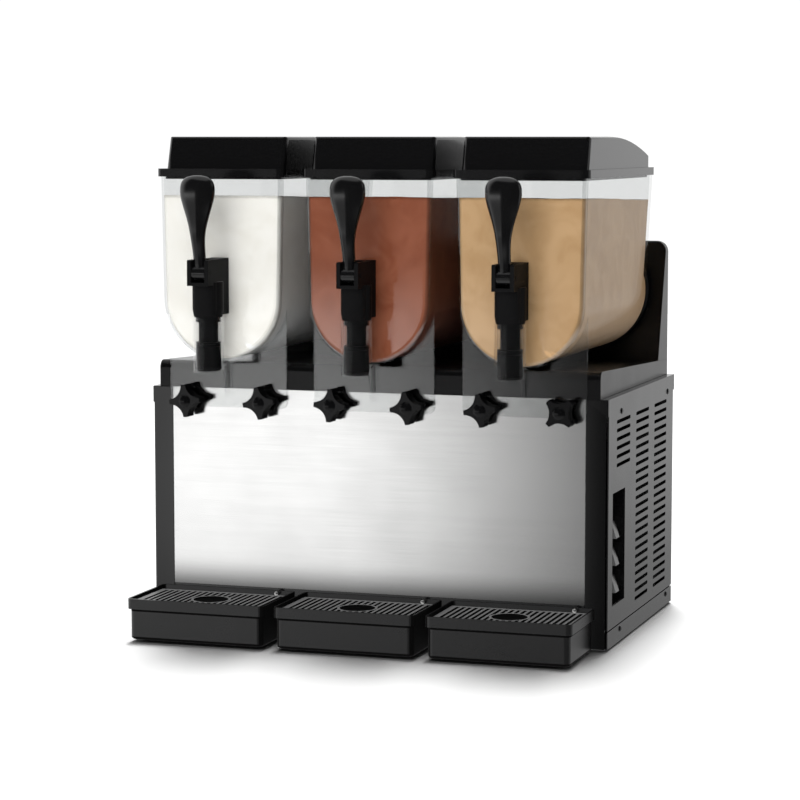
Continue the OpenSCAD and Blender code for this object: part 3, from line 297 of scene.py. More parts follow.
@dataclass(frozen=True)
class Moulded(Finish):
    """Moulded or painted surface with a fine grain, slow blotches and a little dust."""

    grain: float = 0.6
    relief: float = 0.012
    specular: float = 0.5
    coat: float = 0.0
    sheen: float = 0.0

    def surface(self, maker: NodeMaker) -> Wire:
        """Adds the finish's shader.

        Args:
            maker: Adds nodes to the material's tree.

        Returns:
            The shader's wire.
        """
        where = maker.place()
        grain = maker.noise(where, self.grain)
        cloud = maker.noise(where, 55.0, 3.0)
        dust = maker.noise(where, 4.0, 4.0).between(0.55, 0.85) * 0.35
        tone = maker.blend(cloud, self.lighter(0.8), self.lighter(1.25))
        colour = maker.blend(dust, tone, self.lighter(1.9))
        rough = self.roughness + 0.10 * (cloud - 0.5) + 0.06 * (grain - 0.5)
        return maker.principled(Base_Color=colour, Roughness=rough, Specular_IOR_Level=self.specular,
                                Coat_Weight=self.coat, Coat_Roughness=0.08, Sheen_Weight=self.sheen,
                                Sheen_Roughness=0.3, Normal=maker.bump(grain, self.relief))


@dataclass(frozen=True)
class Gloss(Finish):
    """Gloss moulding with slight sink waves, hairline scuffs and specks of dust."""

    wave: float = 18.0
    scuff: float = 0.05
    specular: float = 0.5

    def surface(self, maker: NodeMaker) -> Wire:
        """Adds the finish's shader.

        Args:
            maker: Adds nodes to the material's tree.

        Returns:
            The shader's wire.
        """
        where = maker.place()
        waves = maker.noise(where, self.wave, 1.0)
        hair = maker.noise(maker.place((1.0, 0.06, 0.35)), 0.5, 3.0)
        speck = maker.noise(where, 1.3, 2.0).between(0.72, 0.82) * 0.5
        colour = maker.blend(speck, self.colour, self.lighter(3.0))
        rough = self.roughness + self.scuff * (hair - 0.4) + 0.2 * speck
        return maker.principled(Base_Color=colour, Roughness=rough, Specular_IOR_Level=self.specular,
                                Normal=maker.bump(waves, 0.02))


@dataclass(frozen=True)
class Brushed(Finish):
    """Metal brushed or turned along X, which can darken towards its foot: a painted reflection of the dark
    trays in front of it.
    """

    streak: float = 0.35
    depth: float = 0.004
    foot: float | None = None

    def surface(self, maker: NodeMaker) -> Wire:
        """Adds the finish's shader.

        Args:
            maker: Adds nodes to the material's tree.

        Returns:
            The shader's wire.
        """
        along = maker.place((0.004, 1.0, 1.0))
        lines = maker.noise(along, self.streak, 3.0)
        bands = maker.noise(along, 9.0, 2.0)
        smear = maker.noise(maker.place(), 90.0, 2.0)
        colour = maker.blend(0.55 * lines + 0.45 * bands, self.lighter(0.92), self.lighter(1.07))
        rough = self.roughness + 0.10 * (lines - 0.5) + 0.05 * (smear - 0.5)
        if self.foot is not None:
            # Painted reflection: the colour darkens to near black over the bottom 50 mm, where the dark trays
            # would be mirrored.
            painted_reflection_fade = 0.12 + 0.88 * maker.axes()[2].past(self.foot - 10.0, self.foot + 40.0)
            colour = maker.blend(painted_reflection_fade, (0.0, 0.0, 0.0), colour)
        return maker.principled(Base_Color=colour, Metallic=1.0, Roughness=rough,
                                Normal=maker.bump(lines, self.depth))


@dataclass(frozen=True)
class Plated(Finish):
    """Bright plated or cast metal with blotches and small pits."""

    spangle: float = 3.0
    relief: float = 0.01

    def surface(self, maker: NodeMaker) -> Wire:
        """Adds the finish's shader.

        Args:
            maker: Adds nodes to the material's tree.

        Returns:
            The shader's wire.
        """
        where = maker.place()
        sizes = {"Vector": where, "Scale": 1.0 / (self.spangle * MM)}
        cells = maker.wire("ShaderNodeTexVoronoi", None, sizes)
        pits = maker.noise(where, 0.5, 3.0)
        colour = maker.blend(cells, self.lighter(0.85), self.lighter(1.1))
        rough = self.roughness + 0.12 * (pits - 0.5)
        return maker.principled(Base_Color=colour, Metallic=0.95, Roughness=rough,
                                Normal=maker.bump(pits, self.relief))


@dataclass(frozen=True)
class Clear(Finish):
    """Clear moulding: it lets light straight through and mirrors more at flat angles."""

    mirror: float = 0.035
    flat_mirror: float = 0.10

    def surface(self, maker: NodeMaker) -> Wire:
        """Adds the finish's shader.

        Args:
            maker: Adds nodes to the material's tree.

        Returns:
            The shader's wire.
        """
        facing = maker.wire("ShaderNodeLayerWeight", None, {"Blend": 0.5}, "Facing")
        haze = maker.noise(maker.place(), 30.0, 3.0)
        share = self.mirror + self.flat_mirror * facing ** 4.0
        through = maker.wire("ShaderNodeBsdfTransparent", None, {"Color": (*self.colour, 1.0)})
        sheen = maker.principled(Base_Color=(1.0, 1.0, 1.0, 1.0), Metallic=1.0,
                                 Roughness=self.roughness + 0.05 * (haze - 0.5))
        return maker.wire("ShaderNodeMixShader", None, {0: share, 1: through, 2: sheen})


@dataclass(frozen=True)
class Paper(Finish):
    """Plain pale backdrop paper with a faint tooth."""

    def surface(self, maker: NodeMaker) -> Wire:
        """Adds the finish's shader.

        Args:
            maker: Adds nodes to the material's tree.

        Returns:
            The shader's wire.
        """
        tooth = maker.noise(maker.place(), 2.0, 2.0)
        colour = maker.blend(tooth, self.lighter(0.99), self.lighter(1.01))
        return maker.principled(Base_Color=colour, Roughness=self.roughness, Specular_IOR_Level=0.0)


@dataclass(frozen=True)
class Slush(Finish):
    """Half-frozen drink: two soft tones, an icy grain, a folded relief low down that is painted lighter as a
    painted highlight, a darker patchy band at its level, and lower sides painted lighter and greyer as a
    painted glow.
    """

    second: Colour = (0.5, 0.5, 0.5)
    middle: float = 0.0
    level: float = 553.0
    gloss: float = 0.10
    swirls: float = 22.0
    # These two set the painted glow on the drink's lower sides: how much lighter and how much greyer they are
    # painted.
    glow_gain: float = 1.45
    haze: float = 0.35

    def surface(self, maker: NodeMaker) -> Wire:
        """Adds the finish's shader.

        Args:
            maker: Adds nodes to the material's tree.

        Returns:
            The shader's wire.
        """
        where = maker.place()
        swirl = maker.wire("ShaderNodeTexNoise", None,
                           {"Vector": where, "Scale": self.swirls, "Detail": 3.0, "Distortion": 1.4})
        ice = maker.noise(where, 1.6, 3.0)
        x, y, z = maker.axes()
        # Painted glow: the lower sides, away from the front face, are painted lighter and greyer where
        # bounced light would brighten them.
        under = y.past(BOWL_Y + 12.0, BOWL_Y + 30.0) * (1.0 - z.past(AXIS_Z - 60.0, AXIS_Z + 25.0))
        right = x.past(self.middle + 5.0, self.middle + 35.0)
        low = 1.0 - z.past(AXIS_Z - 62.0, AXIS_Z - 40.0)
        fold_relief_and_highlight = maker.noise(maker.place((0.22, 0.5, 1.0), -38.0), 9.0, 1.0) * right * low
        # A darker patchy band at the drink's level and on its surface.
        level_band = z.past(self.level - 4.0, self.level - 1.0) * maker.noise(where, 5.0, 2.0)
        tone = maker.blend(swirl.between(0.3, 0.7), self.colour, self.second)
        glowed_tone = maker.blend(under, tone, self.hazed(self.glow_gain, self.haze))
        lined = maker.blend(level_band, glowed_tone, self.lighter(0.45))
        # Painted highlight: the folded relief low on the right is also painted lighter, as if lit.
        colour = maker.blend(fold_relief_and_highlight.between(0.52, 0.66) * 0.8, lined, self.lighter(1.6))
        return maker.principled(Base_Color=colour, Roughness=self.roughness + 0.2 * (ice - 0.5),
                                Specular_IOR_Level=self.gloss, Normal=maker.bump(fold_relief_and_highlight + 0.03 * ice, 3.0))


FINISHES: dict[str, Finish] = {
    "black_paint": Moulded("satin_black_paint", (0.0025, 0.0025, 0.0027), 0.19, grain=1.1, relief=0.006),
    "rubber": Moulded("foot_rubber", (0.012, 0.012, 0.012), 0.78, grain=0.5, relief=0.03, specular=0.3),
    # The stainless panel's foot is painted darker, a painted reflection of the trays.
    "stainless": Brushed("front_panel_stainless", (0.62, 0.62, 0.615), 0.16, depth=0.0004, foot=57.0),
    "black_plastic": Moulded("grained_black_plastic", (0.0035, 0.0035, 0.0038), 0.24, grain=0.5,
                             relief=0.006),
    "black_gloss": Gloss("gloss_black_plastic", (0.0025, 0.0025, 0.0027), 0.17),
    "zinc_steel": Plated("zinc_plated_steel", (0.58, 0.58, 0.57), 0.28),
    "compressor_paint": Moulded("compressor_enamel", (0.012, 0.0125, 0.015), 0.3, grain=2.2, relief=0.03,
                                coat=0.3),
    # The fins' near black is partly their own paint and partly painted shade, which keeps the vents as dark
    # as the cabinet's shaded inside.
    "condenser_fins": Moulded("black_fin_enamel_and_shade", (0.010, 0.010, 0.011), 0.55, grain=1.5, relief=0.02,
                              specular=0.15),
    "fan_plastic": Moulded("moulded_fan_plastic", (0.035, 0.036, 0.038), 0.45),
    "motor_metal": Plated("cast_motor_case", (0.30, 0.31, 0.32), 0.5, spangle=1.2, relief=0.05),
    "clear_bowl": Clear("clear_bowl_plastic", (0.927, 0.931, 0.930), 0.05),
    "spring_steel": Plated("spring_wire", (0.52, 0.53, 0.54), 0.25, spangle=0.8),
    "white_plastic": Moulded("white_scraper_plastic", (0.76, 0.76, 0.72), 0.4, grain=0.7),
    "shaft_steel": Brushed("ground_shaft_steel", (0.60, 0.60, 0.60), 0.22, streak=0.2),
    "tray_plastic": Moulded("satin_tray_plastic", (0.007, 0.007, 0.0072), 0.29, relief=0.010),
    # The grid's grey is a painted highlight: black plastic painted lighter for light on its bar tops.
    "grid_plastic": Moulded("satin_grid_plastic", (0.12, 0.12, 0.121), 0.42, relief=0.006, specular=0.4,
                            sheen=0.35),
}
# Painted shade: a near-black, unlit finish for tray and grid faces that light doesn't reach.
SHADE_BLACK = Moulded("unlit_black_plastic", (0.002, 0.002, 0.002), 0.7, relief=0.02, specular=0.05)
# Painted shade: the grained black plastic made darker for the deck and rear housing, which lie in shade
# behind the bowls.
DEEP_BLACK = Moulded("deep_black_plastic", (0.0015, 0.0015, 0.0016), 0.24, grain=0.5, relief=0.006,
                     specular=0.25)
POST_BLACK = Gloss("post_black_plastic", (0.0015, 0.0015, 0.0016), 0.12, wave=40.0, scuff=0.02, specular=0.36)
TAP_BLACK = Moulded("tap_black", (0.005, 0.005, 0.0052), 0.45, grain=0.5, relief=0.006, specular=0.02)
KNOB_BLACK = Gloss("knob_black_plastic", (0.002, 0.002, 0.0022), 0.2, wave=6.0, specular=0.2)
# Painted highlight: pale grey for the rockers' sides, standing in for light on them.
ROCKER_SIDE_HIGHLIGHT = Moulded("rocker_side_painted_highlight", (0.16, 0.16, 0.16), 0.4, relief=0.006)
TURNED_STEEL = Brushed("turned_drum_steel", (0.60, 0.60, 0.60), 0.3, streak=0.4)
# Painted shade: the front fillet is tinted darker than the walls, standing in for dark refraction lines along
# its edges.
CLEAR_EDGE = Clear("clear_bowl_edge", (0.78, 0.79, 0.79), 0.09, mirror=0.14, flat_mirror=0.25)
CLEAR_TUBE = Clear("clear_tube_plastic", (0.965, 0.967, 0.967), 0.06, mirror=0.004, flat_mirror=0.9)


def merged(mesh: Mesh) -> Mesh:
    """Joins a mesh's loose triangles to larger faces.

    Args:
        mesh: The mesh, which is changed.

    Returns:
        The same mesh.
    """
    shape = bmesh.new()
    shape.from_mesh(mesh)
    bmesh.ops.remove_doubles(shape, verts=shape.verts, dist=2e-6)
    bmesh.ops.dissolve_limit(shape, angle_limit=math.radians(0.4), verts=shape.verts, edges=shape.edges)
    shape.to_mesh(mesh)
    shape.free()
    return mesh


def rounded(mesh: Mesh, edge: float, sharp: float = 32.0) -> Mesh:
    """Rounds a mesh's sharp edges.

    Args:
        mesh: The mesh, which is changed.
        edge: Width of the rounded edges in millimetres.
        sharp: Least angle of a sharp edge, in degrees.

    Returns:
        The same mesh, with material index 1 on the rounded edges.
    """
    shape = bmesh.new()
    shape.from_mesh(mesh)
    corners = [e for e in shape.edges if e.is_manifold and e.calc_face_angle(0.0) > math.radians(sharp)]
    bevel = bmesh.ops.bevel(shape, geom=corners, offset=edge * MM, offset_type="OFFSET", segments=2,
                            profile=0.5, affect="EDGES", clamp_overlap=True)
    for face in shape.faces:
        face.material_index = 0
    for face in bevel["faces"]:
        face.material_index = 1
    shape.to_mesh(mesh)
    shape.free()
    return mesh


def solid(node: str) -> Mesh:
    """A copy of a CAD node's mesh, with its triangles joined."""
    return merged(frame["nodes"][node].data.copy())


def softened(node: str, edge: float) -> Mesh:
    """A copy of a CAD node's mesh, with its triangles joined and its sharp edges rounded."""
    return rounded(solid(node), edge)


def smooth(mesh: Mesh, angle: float = 34.0) -> Mesh:
    """Shades a mesh smooth.

    Args:
        mesh: The mesh, which is changed.
        angle: Least angle of an edge that stays sharp, in degrees.

    Returns:
        The same mesh.
    """
    mesh.polygons.foreach_set("use_smooth", [True] * len(mesh.polygons))
    mesh.set_sharp_from_angle(angle=math.radians(angle))
    return mesh


def added(name: str, data: bpy.types.ID) -> Object:
    """Adds an object to the scene.

    Args:
        name: The object's name.
        data: Its mesh, camera or light.

    Returns:
        The new object.
    """
    made = bpy.data.objects.new(name, data)
    bpy.context.scene.collection.objects.link(made)
    return made


def settle(name: str, mesh: Mesh, finish: Finish, body: str,
           extra: Sequence[Finish] = ()) -> Object:
    """Makes a finished piece of a mesh and ties it to its body.

    Args:
        name: The piece's name.
        mesh: Its mesh, in metres in the part's frame.
        finish: Its finish.
        body: The CAD body that it moves with.
        extra: Finishes for the faces with material index 1 and up.

    Returns:
        The new object.
    """
    mesh.name = name
    marks = [face.material_index if face.material_index <= len(extra) else 0 for face in mesh.polygons]
    mesh.materials.clear()
    for one in (finish, *extra):
        mesh.materials.append(one.material())
    mesh.polygons.foreach_set("material_index", marks)
    piece = added(name, mesh)
    level = piece.modifiers.new("level_faces", "WEIGHTED_NORMAL")
    level.keep_sharp = True
    level.weight = 100
    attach(piece, body)
    LOG.info("%s on %s: %d faces, %s", name, body, len(mesh.polygons), finish.name)
    return piece


def stand_in(node: str, mesh: Mesh, finish: Finish | None = None, extra: Sequence[Finish] = (),
             kind: str = "shell") -> Object:
    """Makes a mesh the piece that stands for a CAD node.

    Args:
        node: The CAD node.
        mesh: The piece's mesh.
        finish: Its finish, if it isn't the slot's own.
        extra: Finishes for the faces with material index 1 and up.
        kind: The end of the piece's name.

    Returns:
        The new object.
    """
    slot = SLOT_OF[node]
    piece = settle(f"{node}_{kind}", mesh, finish or FINISHES[slot], BODY_OF[node], extra)
    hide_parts(node)
    return piece


def carry(node: str, edge: float, finish: Finish | None = None, angle: float = 34.0,
          extra: Sequence[Finish] = ()) -> Object:
    """Carries a CAD node over as a piece with soft edges."""
    return stand_in(node, smooth(softened(node, edge), angle), finish, extra)


def from_bmesh(shape: BMesh, name: str) -> Mesh:
    """Turns a bmesh into a mesh with its faces outwards.

    Args:
        shape: The bmesh, which is freed.
        name: The mesh's name.

    Returns:
        The new mesh.
    """
    bmesh.ops.recalc_face_normals(shape, faces=shape.faces)
    made = bpy.data.meshes.new(name)
    shape.to_mesh(made)
    shape.free()
    return made


def block(low: Sequence[float], high: Sequence[float]) -> Mesh:
    """A box between two corners.

    Args:
        low: Its lowest corner, in metres.
        high: Its highest corner, in metres.

    Returns:
        The new mesh.
    """
    shape = bmesh.new()
    bmesh.ops.create_cube(shape, size=1.0)
    for vert in shape.verts:
        vert.co = [(a + b) / 2 + c * (b - a) for a, b, c in zip(low, high, vert.co)]
    return from_bmesh(shape, "block")


def along_y(radius: float, x: float, z: float, low: float, high: float) -> Mesh:
    """A closed cylinder along Y.

    Args:
        radius: Its radius in millimetres.
        x: Its axis's place across, in millimetres.
        z: Its axis's height in millimetres.
        low: Its front end along Y, in millimetres.
        high: Its rear end along Y, in millimetres.

    Returns:
        The new mesh, in metres.
    """
    shape = bmesh.new()
    middle = Matrix.Translation((x * MM, (low + high) / 2 * MM, z * MM))
    turn = Matrix.Rotation(math.radians(-90.0), 4, "X")
    bmesh.ops.create_cone(shape, cap_ends=True, segments=96, radius1=radius * MM, radius2=radius * MM,
                          depth=(high - low) * MM, matrix=middle @ turn)
    return from_bmesh(shape, "along_y")


def skin(shape: BMesh, rings: Sequence[Ring], capped: bool = True) -> None:
    """Joins rings of vertices by faces.

    Args:
        shape: The bmesh to add to.
        rings: Closed rings with equal numbers of vertices, in order.
        capped: Whether the ends are closed.
    """
    for first, second in zip(rings, rings[1:]):
        for k, vert in enumerate(first):
            after = (k + 1) % len(first)
            shape.faces.new((vert, first[after], second[after], second[k]))
    if capped:
        shape.faces.new(rings[0][::-1])
        shape.faces.new(rings[-1])


def worked(mesh: Mesh, tools: Sequence[tuple[Work, Mesh]]) -> Mesh:
    """Works other solids into a mesh.

    Args:
        mesh: The closed mesh to work on.
        tools: What is done, each with a closed mesh, in order.

    Returns:
        The result as a new mesh.
    """
    base = added("worked", mesh)
    helpers = []
    for work, tool in tools:
        helpers.append(added("tool", tool))
        change = base.modifiers.new("change", "BOOLEAN")
        change.operation = work.value
        change.solver = "EXACT"
        change.object = helpers[-1]
    graph = bpy.context.evaluated_depsgraph_get()
    made = bpy.data.meshes.new_from_object(base.evaluated_get(graph))
    for helper in [base, *helpers]:
        bpy.data.objects.remove(helper)
    return made


class GeometryTree(NodeMaker):
    """A Geometry Nodes tree with named sizes, which ends in Realize Instances and Set Material."""

    def __init__(self, name: str, sizes: dict[str, float | int]) -> None:
        """Makes the tree and its named inputs.

        Args:
            name: The tree's name.
            sizes: Its inputs with their values; whole numbers become integer sockets.
        """
        super().__init__(bpy.data.node_groups.new(name, "GeometryNodeTree"))
        face = self.tree.interface
        face.new_socket(name="Geometry", in_out="OUTPUT", socket_type="NodeSocketGeometry")
        face.new_socket(name="Geometry", in_out="INPUT", socket_type="NodeSocketGeometry")
        self.values: dict[str, object] = {}
        for label, value in sizes.items():
            kind = "NodeSocketInt" if isinstance(value, int) else "NodeSocketFloat"
            self.values[face.new_socket(name=label, in_out="INPUT", socket_type=kind).identifier] = value
        paint = face.new_socket(name="Finish", in_out="INPUT", socket_type="NodeSocketMaterial")
        self.paint = paint.identifier
        self.entry = self.node("NodeGroupInput")

    def size(self, label: str) -> Wire:
        """The wire of a named input."""
        return Wire(self, self.entry.outputs[label])

    def triple(self, x: Term, y: Term, z: Term) -> Wire:
        """A vector of three values."""
        return self.wire("ShaderNodeCombineXYZ", None, {0: x, 1: y, 2: z})

    def mesh(self, geometry: Wire, finish: Finish, source: Mesh | None = None) -> Mesh:
        """Ends the tree, runs it and returns the result as a plain mesh.

        Args:
            geometry: What the tree has made.
            finish: The finish that it sets.
            source: The mesh that enters the tree, if it needs one.

        Returns:
            The new mesh.
        """
        real = self.wire("GeometryNodeRealizeInstances", None, {0: geometry})
        paint = {"Geometry": real, "Material": self.size("Finish")}
        painted = self.wire("GeometryNodeSetMaterial", None, paint)
        self.node("NodeGroupOutput", None, {0: painted})
        carrier = added("carrier", source or bpy.data.meshes.new("empty"))
        run = carrier.modifiers.new("run", "NODES")
        run.node_group = self.tree
        for identifier, value in self.values.items():
            run[identifier] = value
        run[self.paint] = finish.material()
        graph = bpy.context.evaluated_depsgraph_get()
        made = bpy.data.meshes.new_from_object(carrier.evaluated_get(graph))
        carrier.modifiers.remove(run)
        bpy.data.objects.remove(carrier)
        return made


@dataclass
class Cabinet:
    """Base, panels, posts, deck, rear housing, switches and their screws."""

    edges: dict[str, float] = field(default_factory=lambda: {
        "base_chassis": 0.3, "rubber_feet": 0.4, "rear_panel": 0.35, "clamp_bar": 0.4, "cable_gland": 0.4,
        "switch_plate": 0.5, "tray_studs": 0.3})
    rocker_depths: Span = (9.0, 2.5)
    seam_h: float = 1.8
    seam_d: float = 4.0
    paddle_root: float = 6.0
    paddle_gaps: Span = (1.0, 2.0)
    screw_r: float = 4.2
    screw_h: float = 1.4
    screw_top: float = 0.72
    screw_grid: float = 50.0
    recess_w: float = 1.1
    recess_l: float = 1.1
    recess_lift: float = 1.1

    def build(self) -> None:
        """Builds and dresses every piece of the cabinet."""
        for node, edge in self.edges.items():
            carry(node, edge)
        for node in ("top_deck", "rear_housing"):
            carry(node, 0.6, DEEP_BLACK)
        for node in ("side_panel_left", "side_panel_right"):
            self.side_panel(node)
        for node in ("switch_1", "switch_2", "switch_3"):
            self.rocker(node)
        carry("front_panel", 0.2)
        carry("corner_posts", 0.7, POST_BLACK)
        self.screws()

    def rocker(self, node: str) -> None:
        """A rocker with a paddle whose lower end stands further out of its pocket, with its sides painted
        pale grey as a painted highlight.

        Args:
            node: The rocker's CAD node.
        """
        low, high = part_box(node)
        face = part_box("side_panel_right")[1].x
        gap = Vector((self.paddle_root, *self.paddle_gaps)) * MM
        paddle = block((high.x - gap.x, low.y + gap.y, low.z + gap.z), (face, high.y - gap.y, high.z - gap.z))
        for vert in paddle.vertices:
            if vert.co.x > high.x:
                vert.co.x = face - self.rocker_depths[int(vert.co.z < (low.z + high.z) / 2)] * MM
        mesh = rounded(merged(worked(solid(node), [(Work.JOIN, paddle)])), 0.5)
        # Painted highlight: the faces across Y are painted pale grey, as if lit.
        for side in mesh.polygons:
            side.material_index = int(abs(side.normal.y) > 0.7)
        stand_in(node, smooth(mesh), extra=[ROCKER_SIDE_HIGHLIGHT], kind="paddle")

    def side_panel(self, node: str) -> None:
        """A side panel that ends in a dark seam over the base rail.

        Args:
            node: The panel's CAD node.
        """
        low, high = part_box(node)
        outer = high.x if high.x > 0 else low.x
        near = outer - math.copysign(self.seam_d * MM, outer)
        seam = block((min(near, 1.01 * outer), 2 * low.y, low.z - 0.002),
                     (max(near, 1.01 * outer), 2 * high.y, low.z + self.seam_h * MM))
        mesh = worked(solid(node), [(Work.CUT, seam)])
        stand_in(node, smooth(rounded(merged(mesh), 0.5)))

    def screws(self) -> None:
        """Cross-head screws on the side panels and base rails, each turned at random."""
        points = self.screw_places()
        source = bpy.data.meshes.new("screw_places")
        source.from_pydata([p for p, _ in points], [], [])
        facing = source.attributes.new("facing", "FLOAT_VECTOR", "POINT")
        for k, (_, way) in enumerate(points):
            facing.data[k].vector = way
        tree = GeometryTree("cross_head_screws", {
            "Radius": self.screw_r * MM, "Height": self.screw_h * MM, "Recess": self.recess_w * MM,
            "Seed": 7})
        radius, height, recess = tree.size("Radius"), tree.size("Height"), tree.size("Recess")
        head = tree.wire("GeometryNodeMeshCone", None, {
            "Vertices": 32, "Radius Top": radius * self.screw_top, "Radius Bottom": radius, "Depth": height})
        bars = [tree.wire("GeometryNodeMeshCube", None, {"Size": tree.triple(*way)}) for way in (
            (radius * self.recess_l, recess, height), (recess, radius * self.recess_l, height))]
        cross = tree.wire("GeometryNodeMeshBoolean", {"operation": Work.JOIN.value}, {"Mesh 2": bars})
        lifted = tree.wire("GeometryNodeTransform", None, {
            "Geometry": cross, "Translation": tree.triple(0.0, 0.0, height * self.recess_lift)})
        screw = tree.wire("GeometryNodeMeshBoolean", {"operation": Work.CUT.value}, {
            "Mesh 1": head, "Mesh 2": lifted})
        way = tree.wire("GeometryNodeInputNamedAttribute", {"data_type": "FLOAT_VECTOR"}, {"Name": "facing"})
        upright = tree.wire("FunctionNodeAlignRotationToVector", {"axis": "Z"}, {"Vector": way})
        spin = tree.wire("FunctionNodeRandomValue", {"data_type": "FLOAT"}, {
            2: 0.0, 3: math.pi, "Seed": tree.size("Seed")}, 1)
        spun = tree.wire("FunctionNodeRotateRotation", {"rotation_space": "LOCAL"}, {
            0: upright, 1: tree.wire("FunctionNodeAxisAngleToRotation", None, {0: (0.0, 0.0, 1.0), 1: spin})})
        placed = tree.wire("GeometryNodeInstanceOnPoints", None, {
            "Points": Wire(tree, tree.entry.outputs[0]), "Instance": screw, "Rotation": spun})
        node = "panel_screws"
        mesh = smooth(tree.mesh(placed, FINISHES[SLOT_OF[node]], source), 30.0)
        stand_in(node, mesh, kind="crossed")

    def screw_places(self) -> list[tuple[Vector, Point]]:
        """Finds the screws from their CAD heads.

        Returns:
            Foot of each screw, with the direction that it faces.
        """
        mesh = frame["nodes"]["panel_screws"].data
        shape = bmesh.new()
        shape.from_mesh(mesh)
        bmesh.ops.remove_doubles(shape, verts=shape.verts, dist=2e-6)
        groups: dict[tuple[int, int, int], list[Vector]] = {}
        for vert in shape.verts:
            place = vert.co / (self.screw_grid * MM)
            key = (int(place.x > 0), round(place.y), round(place.z))
            groups.setdefault(key, []).append(vert.co.copy())
        shape.free()
        places = []
        for verts in groups.values():
            low = Vector([min(vert[k] for vert in verts) for k in range(3)])
            high = Vector([max(vert[k] for vert in verts) for k in range(3)])
            centre = (low + high) / 2
            side = math.copysign(1.0, centre.x)
            foot = min(abs(vert.x) for vert in verts)
            places.append((Vector((side * foot, centre.y, centre.z)), (side, 0.0, 0.0)))
        return places


@dataclass
class CoolingPlant:
    """Compressor, condenser with its fins and fan, motors, drums and gaskets."""

    edges: dict[str, float] = field(default_factory=lambda: {
        "compressor": 0.6, "condenser": 0.3, "condenser_fan": 0.4, "gear_motors": 0.8, "bowl_gaskets": 0.3})

    def build(self) -> None:
        """Builds and dresses every piece of the cooling plant."""
        for node, edge in self.edges.items():
            carry(node, edge)
        carry("evaporator_drums", 0.4, TURNED_STEEL)


@dataclass
class Station:
    """What belongs to one bowl, counted from the left."""

    number: int

    @property
    def x(self) -> float:
        """The station's middle."""
        return STATIONS[self.number - 1]


